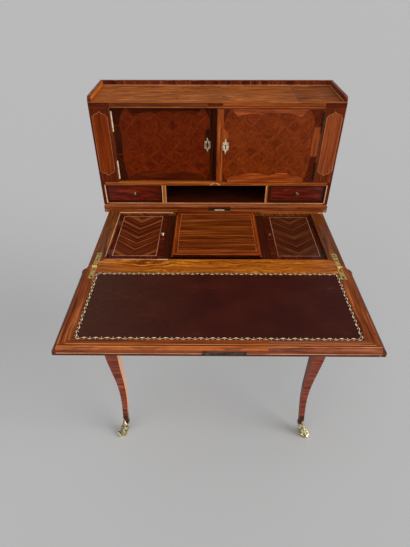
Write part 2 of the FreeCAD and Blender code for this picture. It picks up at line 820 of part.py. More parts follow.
def make_lid_knobs():
    profile = [(lid_knob_foot, Size.of(0)), (lid_knob_neck, lid_knob_neck_z),
               (lid_knob_radius, lid_knob_bulge_z), (lid_knob_crown, lid_knob_height)]
    knob = turned_knob("lid_knob", profile)
    place(knob, lid_knob_place, lid_knob_y, rail_bottom)
    node(knob, "lid_knob_right")
    mirrored(knob, "lid_knob_left", ACROSS)


# ---------------------------------------------------------------- hinges

def hinge(name, axis, start, length, centre, sizes, fixed_leaf, moving_leaf):
    """A knuckled hinge.  Gives its fixed half, which holds the pin, and its moving half."""
    knuckle, pin = sizes
    third = length / 3
    one, two = start + third, start + third * 2
    end = start + length
    room = knuckle + knuckle_gap
    fixed = less(f"{name}_fixed_leaf", fixed_leaf,
                 rod(f"{name}_room_a", axis, one, two, centre, room))
    fixed = fused(f"{name}_fixed", [fixed, rod(f"{name}_knuckle_a", axis, start, one, centre, knuckle),
                                    rod(f"{name}_knuckle_b", axis, two, end, centre, knuckle),
                                    rod(f"{name}_pin", axis, start, end, centre, pin)])
    rooms = [rod(f"{name}_room_b", axis, start - knuckle_gap, one + knuckle_gap, centre, room),
             rod(f"{name}_room_c", axis, two - knuckle_gap, end + knuckle_gap, centre, room)]
    moving = less(f"{name}_moving_leaf", moving_leaf, fused(f"{name}_rooms", rooms))
    middle = rod(f"{name}_knuckle_c", axis, one + knuckle_gap, two - knuckle_gap, centre, knuckle)
    moving = less(f"{name}_moving", fused(f"{name}_moving_whole", [moving, middle]),
                  rod(f"{name}_bore", axis, start, end, centre, pin + pin_gap))
    return fixed, moving


def leaf_plate(name, points, low, high):
    """A flat leaf drawn in plan."""
    body = new_body(name)
    pad(body, "XY", points, low, high)
    return body


def make_flap_hinges():
    cases, flaps = [], []
    for sign, name in ((LEFT, "left"), (RIGHT, "right")):
        low, high = side(sign, flap_hinge_place - flap_leaf_width / 2, flap_hinge_place + flap_leaf_width / 2)
        leaf_z = (writing_height - flap_leaf_thick, writing_height)
        case_leaf = leaf_plate(f"case_leaf_{name}", flap_leaf_recess(sign), *leaf_z)
        flap_leaf = leaf_plate(f"flap_leaf_{name}", flap_leaf_outline(low, high), *leaf_z)
        fixed, moving = hinge(f"flap_hinge_{name}", "x", low, flap_leaf_width, (Size.of(0), flap_pivot),
                              (flap_knuckle, flap_pin), case_leaf, flap_leaf)
        cases.append(fixed)
        flaps.append(moving)
    group("flap_hinge_case_leaves", cases)
    group("flap_hinge_flap_leaves", flaps)


def flap_leaf_outline(low, high):
    """Plan of the flap's leaf, which spreads towards its end."""
    end = -flap_leaf_front
    return [(low - flap_leaf_flare, end), (high + flap_leaf_flare, end), (high, -flap_leaf_waist),
            (high, Size.of(0)), (low, Size.of(0)), (low, -flap_leaf_waist)]


def lid_hinge(sign, name, start):
    pivot_x = (well_edge - hinge_lift) * sign
    fixed_x = side(sign, well_edge, well_edge + lid_leaf_thick)
    moving_x = side(sign, well_edge - hinge_lift - lid_leaf_width, well_edge - hinge_lift)
    along = (start, start + lid_hinge_length)
    upright_z = (rail_bottom + hinge_lift, writing_height - lid_leaf_margin)
    fixed_leaf = board(f"{name}_upright", fixed_x, along, upright_z)
    moving_leaf = board(f"{name}_flat", moving_x, along, (rail_bottom - lid_leaf_thick, rail_bottom))
    return hinge(name, "y", start, lid_hinge_length, (pivot_x, rail_bottom + hinge_lift),
                 (lid_knuckle, lid_pin), fixed_leaf, moving_leaf)


def make_lid_hinges():
    fixed = []
    for sign, hand in ((LEFT, "left"), (RIGHT, "right")):
        pairs = [lid_hinge(sign, f"lid_hinge_{hand}_{end}", start)
                 for end, start in (("front", lid_hinge_front), ("rear", lid_hinge_rear))]
        fixed += [pair[0] for pair in pairs]
        group(f"lid_hinge_leaves_{hand}", [pair[1] for pair in pairs])
    group("lid_hinge_rail_leaves", fixed)


# ---------------------------------------------------------------- flap

def make_flap():
    flap = new_body("flap")
    half, front = half_top, -interior_depth
    rear = -fit_gap
    cut_x, cut_y = half - flap_corner_x * flap_corner_cut, rear - flap_corner_y * flap_corner_cut
    points = [(-half, front), (half, front), (half, rear - flap_corner_y, (cut_x, cut_y)),
              (half - flap_corner_x, rear), (flap_corner_x - half, rear, (-cut_x, cut_y)),
              (-half, rear - flap_corner_y)]
    base = pad(flap, "XY", points, flap_bottom, writing_height)
    top, low, back = writing_height.number, flap_bottom.number, rear.number
    rounded = soften(flap, base, lambda b: b.ZMin > top - NEAR and b.YMin < back - NEAR, flap_top_round)
    soften(flap, rounded, lambda b: b.ZMax < low + NEAR and b.YMin < back - NEAR, flap_under_round, "Chamfer")
    leather = rectangle((leather_side - half, half - leather_side),
                        (front + leather_front, -leather_rear))
    cut(flap, "XY", leather, writing_height - leather_recess, writing_height)
    for sign in (LEFT, RIGHT):
        low_x, high_x = side(sign, flap_hinge_place - flap_leaf_width / 2,
                             flap_hinge_place + flap_leaf_width / 2)
        cut(flap, "XY", flap_leaf_outline(low_x, high_x), writing_height - flap_leaf_thick, writing_height)
        cut(flap, "XY", knuckle_notch(sign, -flap_knuckle - knuckle_gap, Size.of(0)),
            flap_pivot - flap_knuckle - knuckle_gap, writing_height)
    make_flap_lock(flap, front)
    node(flap, "flap_board")
    skin = new_body("leather")
    pad(skin, "XY", leather, writing_height - leather_recess, writing_height - leather_recess + leather_thick)
    node(skin, "leather_panel")


def make_flap_lock(flap, front):
    """A mortise lock sunk in the flap's free edge, and the room for it."""
    middle = flap_bottom + flap_thick / 2
    plate = rectangle((lock_place - lock_width / 2, lock_place + lock_width / 2),
                      (middle - lock_face / 2, middle + lock_face / 2))
    case = rectangle((lock_place - lock_body_width / 2, lock_place + lock_body_width / 2),
                     (middle - lock_body_thick / 2, middle + lock_body_thick / 2))
    back = front + lock_body_depth
    lock = new_body("lock")
    for points, depth in ((plate, front + lock_plate), (case, back)):
        cut(flap, "XZ", points, front, depth)
        pad(lock, "XZ", points, front, depth)
    slot = rectangle((lock_place - bolt_slot_width / 2, lock_place + bolt_slot_width / 2),
                     (middle - bolt_slot_height / 2, middle + bolt_slot_height / 2))
    cut(lock, "XZ", slot, front, front + bolt_slot_depth)
    node(lock, "flap_lock")


# ---------------------------------------------------------------- cabinet

def make_cabinet_case():
    inner = (-cabinet_inner, cabinet_inner)
    deep = (cabinet_front, cabinet_back_front)
    node(board("bottom", inner, deep, (slab_top, cabinet_floor)), "cabinet_bottom")
    node(board("shelf", inner, deep, (shelf_bottom, shelf_top)), "cabinet_shelf")
    node(board("back", inner, (cabinet_back_front, case_depth), (slab_top, door_top)), "cabinet_back")
    node(board("roof", (-half_top, half_top), (cabinet_front, case_depth), (door_top, cabinet_roof)),
         "cabinet_top")
    flank = new_body("cabinet_flank")
    behind = cabinet_front + pilaster_thick
    pad(flank, "YZ", [(cabinet_front, slab_top), (case_depth, slab_top), (case_depth, door_top),
                      (behind, door_top), (behind, shelf_top), (cabinet_front, shelf_top)],
        cabinet_inner, half_top)
    node(flank, "cabinet_side_right")
    mirrored(flank, "cabinet_side_left", ACROSS)
    dividers = []
    for sign, name in ((LEFT, "left"), (RIGHT, "right")):
        x = side(sign, divider_place - divider_thick / 2, divider_place + divider_thick / 2)
        dividers.append(board(f"divider_{name}", x, deep, (cabinet_floor, shelf_bottom)))
    group("cabinet_dividers", dividers)


def hinge_spans():
    """The two stretches of height at which a door's hinges sit."""
    upper = door_top - door_hinge_top - door_hinge_length
    lower = shelf_top + door_hinge_bottom
    return [(lower, lower + door_hinge_length), (upper, upper + door_hinge_length)]


def door_pivot(setback):
    """Place of a door's pin behind the hinge line: just in front of the door's face."""
    return cabinet_front + setback - door_leaf_thick


def make_pilaster(sign, setback, name):
    """Upright beside a door, let in for the door's hinges."""
    post = board_body(f"pilaster_{name}_body", side(sign, opening_half, half_top),
                      (cabinet_front, cabinet_front + pilaster_thick), (shelf_top, door_top))
    pivot = door_pivot(setback)
    room = door_knuckle + knuckle_gap
    for low, high in hinge_spans():
        leaf = rectangle(side(sign, opening_half, opening_half + door_leaf_thick),
                         (pivot, pivot + door_leaf_width))
        cut(post, "XY", leaf, low, high)
        notch = rectangle(side(sign, opening_half, opening_half + room), (pivot - room, pivot + room))
        cut(post, "XY", notch, low - knuckle_gap, high + knuckle_gap)
    node(post, f"pilaster_{name}")


def make_door(sign, setback, name):
    """A flat door, let in for its hinges, with a keyhole behind its escutcheon."""
    front = cabinet_front + setback
    edge = opening_half - door_gap
    door = board_body(f"door_{name}_body", side(sign, meeting_gap / 2, edge), (front, front + door_thick),
                      (shelf_top + door_gap, door_top - door_gap))
    pivot = door_pivot(setback)
    room = door_knuckle + knuckle_gap
    centre = opening_half - door_gap / 2
    for low, high in hinge_spans():
        leaf = rectangle(side(sign, edge - door_leaf_thick, edge), (front, pivot + door_leaf_width))
        cut(door, "XY", leaf, low, high)
        notch = rectangle(side(sign, centre - room, edge), (front, pivot + room))
        cut(door, "XY", notch, low - knuckle_gap, high + knuckle_gap)
    node(door, f"door_{name}")


def door_hinges(sign, setback, name):
    pivot = door_pivot(setback)
    centre = (opening_half - door_gap / 2) * sign
    edge = opening_half - door_gap
    halves = []
    for index, (low, high) in enumerate(hinge_spans()):
        tag = f"door_hinge_{name}_{index}"
        leaf_y = (pivot, pivot + door_leaf_width)
        fixed_x = side(sign, opening_half, opening_half + door_leaf_thick)
        moving_x = side(sign, edge - door_leaf_thick, edge)
        halves.append(hinge(tag, "z", low, high - low, (centre, pivot), (door_knuckle, door_pin),
                            board(f"{tag}_jamb", fixed_x, leaf_y, (low, high)),
                            board(f"{tag}_door", moving_x, leaf_y, (low, high))))
    return halves


def lozenge(x, z, width, height):
    """A four-pointed plate with hollowed sides."""
    half_w, half_h = width / 2, height / 2
    waist_w, waist_h = half_w * escutcheon_hollow, half_h * escutcheon_hollow
    return [(x, z - half_h, (x + waist_w, z - waist_h)),
            (x + half_w, z, (x + waist_w, z + waist_h)),
            (x, z + half_h, (x - waist_w, z + waist_h)),
            (x - half_w, z, (x - waist_w, z - waist_h))]


def keyhole(x, z):
    """A round eye over a straight slot."""
    slot, eye = keyhole_slot / 2, keyhole_radius
    low = z - keyhole_drop
    return [(x - slot, low), (x + slot, low), (x + slot, z, (x, z + eye * 2)), (x - slot, z)]


def make_escutcheon(sign, setback, height, middle, name):
    plate = new_body(f"plate_{name}")
    x, z = escutcheon_place * sign, slab_top + middle
    front = cabinet_front + setback
    pad(plate, "XZ", lozenge(x, z, escutcheon_width, height), front - escutcheon_thick, front)
    cut(plate, "XZ", keyhole(x, z), front - escutcheon_thick, front)
    node(plate, f"escutcheon_{name}")


def make_doors():
    frame_leaves = []
    for sign, setback, name in ((LEFT, left_door_setback, "left"), (RIGHT, Size.of(0), "right")):
        make_pilaster(sign, setback, name)
        make_door(sign, setback, name)
        halves = door_hinges(sign, setback, name)
        frame_leaves += [half[0] for half in halves]
        group(f"door_hinge_leaves_{name}", [half[1] for half in halves])
    group("door_hinge_frame_leaves", frame_leaves)
    make_escutcheon(LEFT, left_door_setback, escutcheon_left_height, escutcheon_left_z, "left")
    make_escutcheon(RIGHT, Size.of(0), escutcheon_right_height, escutcheon_right_z, "right")
    back = cabinet_front + door_thick
    middle = slab_top + escutcheon_right_z
    node(board("lock_case", (door_lock_edge, door_lock_width), (back, back + door_lock_thick),
               (middle - door_lock_height / 2, middle + door_lock_height / 2)), "door_lock")


def make_gallery():
    """A low three-sided rail round the cabinet's top; its front ends are rounded down."""
    rail = new_body("gallery_body")
    outer, inner = half_top, half_top - gallery_thick
    front, back = cabinet_front + gallery_setback, case_depth
    points = [(-outer, front), (-inner, front), (-inner, back - gallery_thick), (inner, back - gallery_thick),
              (inner, front), (outer, front), (outer, back), (-outer, back)]
    base = pad(rail, "XY", points, cabinet_roof, cabinet_roof + gallery_height)
    top, low = (cabinet_roof + gallery_height).number, front.number
    soften(rail, base, lambda b: b.ZMin > top - NEAR and b.YMax < low + NEAR, gallery_round)
    node(rail, "gallery")


def make_drawers():
    """Two small drawers: a front, and a tray behind it that is open above."""
    outer, inner = cabinet_inner - slide_gap, divider_place + divider_thick / 2 + slide_gap
    front = cabinet_front + drawer_setback
    behind = front + drawer_front_thick
    low, high = cabinet_floor + fit_gap, shelf_bottom - slide_gap
    face = board("drawer_face", (inner, outer), (front, behind), (low, high))
    tray_top, rear = high - drawer_tray_drop, cabinet_back_front - drawer_rear_gap
    tray = board_body("drawer_tray_body", (inner, outer), (behind, rear), (low, tray_top))
    hollow = rectangle((inner + drawer_wall, outer - drawer_wall), (behind + drawer_wall, rear - drawer_wall))
    cut(tray, "XY", hollow, low + drawer_bottom, tray_top)
    profile = [(knob_foot, Size.of(0)), (knob_neck, knob_foot_thick), (knob_neck, knob_stem),
               (knob_radius, knob_bulge), (knob_crown, knob_length)]
    knob = turned_knob("drawer_knob", profile)
    knob.Placement.Rotation = Rotation(Vector(1, 0, 0), 90)
    place(knob, (inner + outer) / 2, front, (low + high) / 2)
    for piece, name in ((face, "drawer_front"), (tray, "drawer_tray"), (knob, "drawer_knob")):
        node(piece, f"{name}_right")
        mirrored(piece, f"{name}_left", ACROSS)


# ---------------------------------------------------------------- checking and writing

def check_document():
    """Stop if any object failed, any cut missed, or any piece isn't a valid solid."""
    for thing in DOC.Objects:
        if {"Invalid", "Error"} & set(thing.State):
            raise RuntimeError(f"{thing.Name} ({thing.Label}) failed: {thing.State}")
        if thing.TypeId == "PartDesign::Pocket":
            before = thing.BaseFeature.Shape.Volume
            if thing.Shape.Volume > before - 1e-3:
                raise RuntimeError(f"{thing.Name} cuts nothing")
    for thing in NODES:
        shape = thing.Shape
        if shape.isNull() or not shape.isValid() or not shape.Solids:
            raise RuntimeError(f"{thing.Label} has no valid solid")


def write_parts():
    os.makedirs("parts", exist_ok=True)
    for thing in NODES:
        thing.Shape.exportStep(f"parts/{thing.Label}.step")


def main():
    peg = make_legs()
    make_shoes(peg)
    make_aprons()
    make_well_floor()
    make_partition()
    make_well_walls()
    make_rails()
    make_slab()
    make_lopers()
    make_panel()
    make_lids()
    make_lid_knobs()
    make_lid_hinges()
    make_flap()
    make_flap_hinges()
    make_cabinet_case()
    make_doors()
    make_gallery()
    make_drawers()
    DOC.recompute()
    check_document()
    write_parts()
    print(f"{len(NODES)} nodes, {sum(len(thing.Shape.Solids) for thing in NODES)} solids")


main()
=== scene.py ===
"""Looks of a bonheur du jour: its veneers, marquetry, tooled leather and bronze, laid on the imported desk."""
import logging
import math
import random
from dataclasses import dataclass, field, replace
from enum import Enum

import bmesh
import bpy
from mathutils import Matrix, Vector


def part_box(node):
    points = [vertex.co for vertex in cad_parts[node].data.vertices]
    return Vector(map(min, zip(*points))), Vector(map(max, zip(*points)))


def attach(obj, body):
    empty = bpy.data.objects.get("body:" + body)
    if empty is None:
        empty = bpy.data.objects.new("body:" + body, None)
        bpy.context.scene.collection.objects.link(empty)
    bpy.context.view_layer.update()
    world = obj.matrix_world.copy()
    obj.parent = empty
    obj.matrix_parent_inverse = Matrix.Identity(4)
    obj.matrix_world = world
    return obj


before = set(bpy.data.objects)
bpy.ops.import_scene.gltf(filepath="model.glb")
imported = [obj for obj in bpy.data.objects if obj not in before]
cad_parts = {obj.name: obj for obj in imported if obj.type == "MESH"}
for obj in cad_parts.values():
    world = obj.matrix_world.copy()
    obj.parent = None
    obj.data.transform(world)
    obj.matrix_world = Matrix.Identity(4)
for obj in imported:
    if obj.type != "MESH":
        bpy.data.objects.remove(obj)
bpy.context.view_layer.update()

LOG = logging.getLogger("desk")
MM = 0.001
CHANCE = random.Random(1765)
Point = tuple[float, float]
Outline = tuple[Point, ...]
Box = tuple[float, float, float, float]
Tree, Node, Socket = bpy.types.NodeTree, bpy.types.Node, bpy.types.NodeSocket
# Shellac's IOR is about 1.5, and so is that of the glaze on leather
POLISH_IOR = 1.5


# ---------------------------------------------------------------- nodes and colours

def linear(code: str) -> tuple[float, float, float, float]:
    """Turn an sRGB hex colour into linear values.

    Args:
        code: The colour as six hex digits after a hash.

    Returns:
        Linear red, green, blue and an alpha of 1.
    """
    parts = [int(code[i:i + 2], 16) / 255 for i in (1, 3, 5)]
    red, green, blue = (p / 12.92 if p <= 0.04045 else ((p + 0.055) / 1.055) ** 2.4 for p in parts)
    return red, green, blue, 1.0


def add(tree: Tree, kind: str, inputs: dict | None = None, **settings) -> Node:
    """Add a shader node.

    Args:
        tree: The material's node tree.
        kind: Blender's name of the node type, without the words ShaderNode before it.
        inputs: Input name or number to a node or socket, which is linked, or to a value, which is set.
        settings: The node's own properties; stops are a colour ramp's places and hex colours.

    Returns:
        The new node.
    """
    made = tree.nodes.new("ShaderNode" + kind)
    for i, (place, code) in enumerate(settings.pop("stops", ())):
        ramp = made.color_ramp.elements
        stop = ramp[i] if i < len(ramp) and i < 2 else ramp.new(place)
        stop.position = place
        stop.color = linear(code)
    for name, value in settings.items():
        setattr(made, name, value)
    for key, value in (inputs or {}).items():
        if isinstance(value, Node):
            value = next(socket for socket in value.outputs if socket.enabled)
        if isinstance(value, Socket):
            tree.links.new(value, made.inputs[key])
        else:
            made.inputs[key].default_value = value
    return made


def recolour(tree: Tree, shader: Node, share: Node, code: str) -> None:
    """Mix another colour into a shader's own.

    Args:
        tree: The material's node tree.
        shader: The shader, whose base colour is linked.
        share: What gives the other colour's share, from 0 to 1.
        code: The other colour, in sRGB.
    """
    own = shader.inputs["Base Color"].links[0].from_socket
    mixed = add(tree, "Mix", {0: share, 6: own, 7: linear(code)}, data_type="RGBA")
    tree.links.new(mixed.outputs[2], shader.inputs["Base Color"])


def pattern(tree: Tree, kind: str, place: Node | Socket, size_mm: Point, **inputs) -> Node:
    """Add a noise or cell pattern at a real size.

    Args:
        tree: The material's node tree.
        kind: The pattern's node type, as for add.
        place: Metres along the grain and across it.
        size_mm: What one unit of the pattern measures along and across.
        inputs: The pattern node's other inputs.

    Returns:
        The pattern's node.
    """
    unit = (1 / (size_mm[0] * MM), 1 / (size_mm[1] * MM), 1)
    scaled = add(tree, "VectorMath", {0: place, 1: unit}, operation="MULTIPLY")
    return add(tree, kind, {"Vector": scaled, "Scale": 1, **inputs})


class Grain(Enum):
    """Where the grain runs: as each leaf was laid, along one axis of a solid piece, or level round a leg."""

    LAID = -1
    ALONG_X = 0
    ALONG_Y = 1
    ALONG_Z = 2
    LEVEL = 3

    def coordinates(self, tree: Tree) -> Node | Socket:
        """Give the coordinates that a pattern of the wood runs in.

        Args:
            tree: The material's node tree.

        Returns:
            Metres along the grain, metres across it, and a number that differs from leaf to leaf.
        """
        if self is Grain.LAID:
            return add(tree, "Attribute", attribute_name="grain").outputs["Vector"]
        place = add(tree, "TexCoord").outputs["Object"]
        parts = add(tree, "SeparateXYZ", {0: place}).outputs
        single = parts[2 if self is Grain.LEVEL else self.value]
        others = [part for part in list(parts)[:3] if part != single]
        total = add(tree, "Math", {0: others[0], 1: others[1]}, operation="ADD").outputs[0]
        along, across = (total, single) if self is Grain.LEVEL else (single, total)
        return add(tree, "CombineXYZ", {0: along, 1: across})


@dataclass(frozen=True)
class Finish:
    """A real surface: its name and the record's material slot that it belongs to."""

    name: str
    slot: str = field(default="kingwood", kw_only=True)

    def material(self, grain: Grain = Grain.LAID) -> bpy.types.Material:
        """Give the finish's material for one run of the grain, made the first time it is asked for.

        Args:
            grain: Where the grain runs.

        Returns:
            The material.
        """
        key = f"{self.name} ({grain.name.lower()})"
        found = bpy.data.materials.get(key)
        if found:
            return found
        made = bpy.data.materials.new(key)
        made.use_nodes = True
        made.node_tree.nodes.clear()
        shader = self.shade(made.node_tree, grain.coordinates(made.node_tree))
        add(made.node_tree, "OutputMaterial", {"Surface": shader})
        return made

    def shade(self, tree: Tree, place: Node) -> Node:
        """Build the finish's shader; each kind of finish has its own."""
        raise NotImplementedError


@dataclass(frozen=True)
class Veneer(Finish):
    """Sawn veneer under French polish: stripes of growth, fine pores, leaves that differ in tone, and painted
    glints.

    The polish on a desk of this age is thin and rubbed, so its gloss is kept low. Real pores are under 0.3 mm
    wide; they are drawn wider, so that they show.
    """

    pale: str
    ground: str
    stripe: str
    stripe_mm: float = 6.0
    length_mm: float = 110.0
    wander_mm: float = 3.0
    tone: float = 0.12
    streak: float = 0.55
    rough: float = 0.36
    gloss: float = 0.24
    # Spots of lighter and darker tone, which paint the small glints of crazed varnish
    mottle: float = 0.04
    wave_mm: Point = (80.0, 26.0)
    pore_mm: Point = (14.0, 0.8)
    mottle_mm: Point = (7.0, 7.0)
    relief_mm: float = 0.05

    def shade(self, tree: Tree, place: Node) -> Node:
        """Growth bands and dark streaks from stretched noise, bent by a slow wander, below a clear polish.

        Args:
            tree: The material's node tree.
            place: The coordinates that the grain gives.

        Returns:
            The shader.
        """
        length, width, wander = self.length_mm, self.stripe_mm, self.wander_mm * MM
        slow = pattern(tree, "TexNoise", place, self.wave_mm, Detail=2)
        bend = add(tree, "MapRange", {0: slow, 1: 0.2, 2: 0.8, 3: -wander, 4: wander})
        bent = add(tree, "VectorMath", {0: place, 1: add(tree, "CombineXYZ", {1: bend})})
        sizes = (((length, width), 3), ((length * 0.8, width * 0.28), 1),
                 (self.pore_mm, 2), (self.mottle_mm, 4))
        growth, streaks, pores, spots = (
            pattern(tree, "TexNoise", bent, size_mm, Detail=detail) for size_mm, detail in sizes)
        body = add(tree, "ValToRGB", {0: growth}, stops=(
            (0.34, self.pale), (0.47, self.ground), (0.55, self.ground), (0.66, self.stripe)))
        dark = add(tree, "MapRange", {0: streaks, 1: 0.56, 2: 0.68, 3: 0, 4: self.streak})
        striped = add(tree, "Mix", {0: dark, 6: body, 7: linear(self.stripe)}, data_type="RGBA")
        number = add(tree, "SeparateXYZ", {0: place}).outputs[2]
        leaf = add(tree, "TexWhiteNoise", {"W": number}, noise_dimensions="1D")
        value = add(tree, "MapRange", {0: leaf, 3: 1 - self.tone, 4: 1 + self.tone})
        # Pores darken the tone, a slow wave shifts it, and the spots paint small glints
        for signal, low, high, at_low, at_high in (
                (pores, 0.35, 0.65, 1.08, 0.86), (slow, 0.3, 0.7, 0.9, 1.1),
                (spots, 0.35, 0.65, 1 - self.mottle, 1 + self.mottle)):
            share = add(tree, "MapRange", {0: signal, 1: low, 2: high, 3: at_low, 4: at_high})
            value = add(tree, "Math", {0: value, 1: share}, operation="MULTIPLY")
        colour = add(tree, "HueSaturation", {"Value": value, "Color": striped})
        relief = add(tree, "Bump", {"Height": pores, "Strength": 0.25, "Distance": self.relief_mm * MM})
        rough = add(tree, "MapRange", {0: slow, 1: 0.3, 2: 0.7, 3: self.rough - 0.06, 4: self.rough + 0.08})
        return add(tree, "BsdfPrincipled", {
            "Base Color": colour, "Roughness": rough, "IOR": POLISH_IOR, "Specular IOR Level": self.gloss,
            "Normal": relief})


@dataclass(frozen=True)
class Inlay(Veneer):
    """Veneer that is cut small, for bands, lines and patterns."""

    slot: str = field(default="parquetry", kw_only=True)


@dataclass(frozen=True)
class LegVeneer(Veneer):
    """Veneer on a leg: painted light where it faces the window, and painted shade just above the shoe."""

    # Painted light on faces that look to the right: its colour and its share
    fade_and_light_colour: str = "#e8a878"
    faded: float = 0.8
    # Painted shade just above the shoe: its colour, how dark it is at the shoe's rim, and where it ends
    ankle_shade: str = "#281418"
    waxed: float = 0.85
    shoe_rim: float = 0.065
    clear_of_ankle_shade: float = 0.14

    def shade(self, tree: Tree, place: Node) -> Node:
        """The plain veneer, with painted light on faces that look to the right, then painted shade up from the
        shoe.

        Args:
            tree: The material's node tree.
            place: The coordinates that the grain gives.

        Returns:
            The shader.
        """
        shader = super().shade(tree, place)
        facing = add(tree, "SeparateXYZ", {0: add(tree, "NewGeometry").outputs["True Normal"]})
        lit_side = add(tree, "MapRange", {0: facing.outputs[0], 1: 0.45, 2: 0.9, 4: self.faded})
        recolour(tree, shader, lit_side, self.fade_and_light_colour)
        # Painted shade, darkest at the shoe's rim
        height = add(tree, "SeparateXYZ", {0: add(tree, "TexCoord").outputs["Object"]}).outputs[2]
        falling = {0: height, 1: self.shoe_rim, 2: self.clear_of_ankle_shade, 3: self.waxed, 4: 0}
        stain = add(tree, "MapRange", falling, interpolation_type="SMOOTHERSTEP")
        recolour(tree, shader, stain, self.ankle_shade)
        return shader


@dataclass(frozen=True)
class Leather(Finish):
    """Old calf, glazed and rubbed: a pebbled grain, a cloudy dark colour and pale scuffs.

    Calf's pebbles are about half a millimetre wide; they are drawn wider, so that they show.
    """

    slot: str = field(default="leather", kw_only=True)
    ground: str
    cloud: str
    fade_and_light_colour: str
    scuff: str
    fade_from: float = -0.02
    fade_to: float = -0.30
    pebble_mm: float = 1.2
    cloud_mm: Point = (90.0, 60.0)
    scuff_mm: Point = (30.0, 1.6)
    dust_mm: Point = (9.0, 9.0)
    relief_mm: float = 0.12
    gloss: float = 0.14

    def shade(self, tree: Tree, place: Node) -> Node:
        """Pebbles in the bump; clouds of 90 mm, browner to the left, and hair scuffs in the colour.

        Args:
            tree: The material's node tree.
            place: The coordinates that the grain gives.

        Returns:
            The shader.
        """
        sizes = ((self.cloud_mm, 3), (self.scuff_mm, 3), (self.dust_mm, 5))
        clouds, hairs, dust = (
            pattern(tree, "TexNoise", place, size_mm, Detail=detail) for size_mm, detail in sizes)
        pebbles = pattern(tree, "TexVoronoi", place, (self.pebble_mm, self.pebble_mm))
        across = add(tree, "SeparateXYZ", {0: place}).outputs[0]
        fade = add(tree, "MapRange", {0: across, 1: self.fade_from, 2: self.fade_to, 3: 0, 4: 1})
        cloudy = add(tree, "MapRange", {0: clouds, 1: 0.35, 2: 0.65})
        body = add(tree, "Mix", {0: cloudy, 6: linear(self.ground), 7: linear(self.cloud)}, data_type="RGBA")
        specks = add(tree, "MapRange", {0: dust, 1: 0.3, 2: 0.7, 3: 0.35, 4: 1})
        patchy = add(tree, "Math", {0: fade, 1: specks}, operation="MULTIPLY")
        faded = add(tree, "Mix", {0: patchy, 6: body, 7: linear(self.fade_and_light_colour)}, data_type="RGBA")
        marks = add(tree, "Math", {
            0: add(tree, "MapRange", {0: hairs, 1: 0.66, 2: 0.74, 3: 0, 4: 0.5}),
            1: add(tree, "MapRange", {0: clouds, 1: 0.5, 2: 0.62})}, operation="MULTIPLY")
        worn = add(tree, "Mix", {0: marks, 6: faded, 7: linear(self.scuff)}, data_type="RGBA")
        relief = add(tree, "Bump", {"Height": pebbles, "Strength": 0.2, "Distance": self.relief_mm * MM})
        rough = add(tree, "MapRange", {0: dust, 1: 0.35, 2: 0.7, 3: 0.42, 4: 0.6})
        return add(tree, "BsdfPrincipled", {
            "Base Color": worn, "Roughness": rough, "IOR": POLISH_IOR, "Specular IOR Level": self.gloss,
            "Normal": relief})


@dataclass(frozen=True)
class Metal(Finish):
    """Cast or rolled metal, bright where it is rubbed and dull with old tarnish elsewhere."""

    slot: str = field(default="brass", kw_only=True)
    bright: str
    tarnish: str
    rough: float = 0.3
    patch_mm: float = 9.0
    clean: float = 0.58
    soft: float = 0.12
    metallic: float = 1.0
    relief_mm: float = 0.25

    def shade(self, tree: Tree, place: Node) -> Node:
        """Patches of tarnish over the bare metal, which also roughen it.

        Args:
            tree: The material's node tree.
            place: The coordinates that the grain gives.

        Returns:
            The shader.
        """
        patches = pattern(tree, "TexNoise", place, (self.patch_mm, self.patch_mm), Detail=5, Roughness=0.65)
        dull = add(tree, "MapRange", {0: patches, 1: self.clean - self.soft, 2: self.clean + self.soft})
        bright, tarnish = linear(self.bright), linear(self.tarnish)
        colour = add(tree, "Mix", {0: dull, 6: bright, 7: tarnish}, data_type="RGBA")
        relief = add(tree, "Bump", {"Height": patches, "Strength": 0.35, "Distance": self.relief_mm * MM})
        rough = add(tree, "MapRange", {0: dull, 3: self.rough, 4: self.rough + 0.25})
        return add(tree, "BsdfPrincipled", {
            "Base Color": colour, "Metallic": self.metallic, "Normal": relief, "Roughness": rough})


@dataclass(frozen=True)
class LitAndShadedBrass(Metal):
    """Brass painted lit on the desk's left, and painted dark with shade on its right."""

    # The colour of the painted shade on the right
    blackened: str = "#4a3a28"

    def shade(self, tree: Tree, place: Node) -> Node:
        """The plain brass, darkened to the right of the middle as painted shade.

        Args:
            tree: The material's node tree.
            place: The coordinates that the grain gives.

        Returns:
            The shader.
        """
        shader = super().shade(tree, place)
        across = add(tree, "SeparateXYZ", {0: add(tree, "TexCoord").outputs["Object"]}).outputs[0]
        recolour(tree, shader, add(tree, "MapRange", {0: across, 1: -0.01, 2: 0.01}), self.blackened)
        return shader


# Kingwood: violet-brown with near-black stripes; the polish deepens it and gives a soft gloss
KINGWOOD = Veneer("French-polished kingwood veneer", "#7d3c16", "#64290b", "#3b1405", 5)
RAIL_WOOD = Veneer("kingwood rail", "#86491a", "#68330c", "#401c06", 9, 120, 6, streak=0.7)
# Its short cross-cut pieces stay red under old polish; the left door's set is painted darker and redder as shade,
# since light reaches that door less
LOZENGES_LEFT = (
    Inlay("kingwood parquetry, blood red", "#6c2002", "#601a00", "#521400", 8, 50, tone=0.06, streak=0.3,
          gloss=0.08, mottle=0.16),
    Inlay("kingwood parquetry, rust red", "#722604", "#641f01", "#541600", 8, 50, tone=0.08, streak=0.3,
          gloss=0.08, mottle=0.16))
LOZENGES_RIGHT = (
    Inlay("kingwood parquetry, red brown", "#7e3006", "#702802", "#602001", 8, 50, tone=0.1, streak=0.3,
          gloss=0.14, mottle=0.2),
    Inlay("kingwood parquetry, warm brown", "#84350a", "#772d04", "#662502", 8, 50, tone=0.13, streak=0.3,
          gloss=0.14, mottle=0.2))
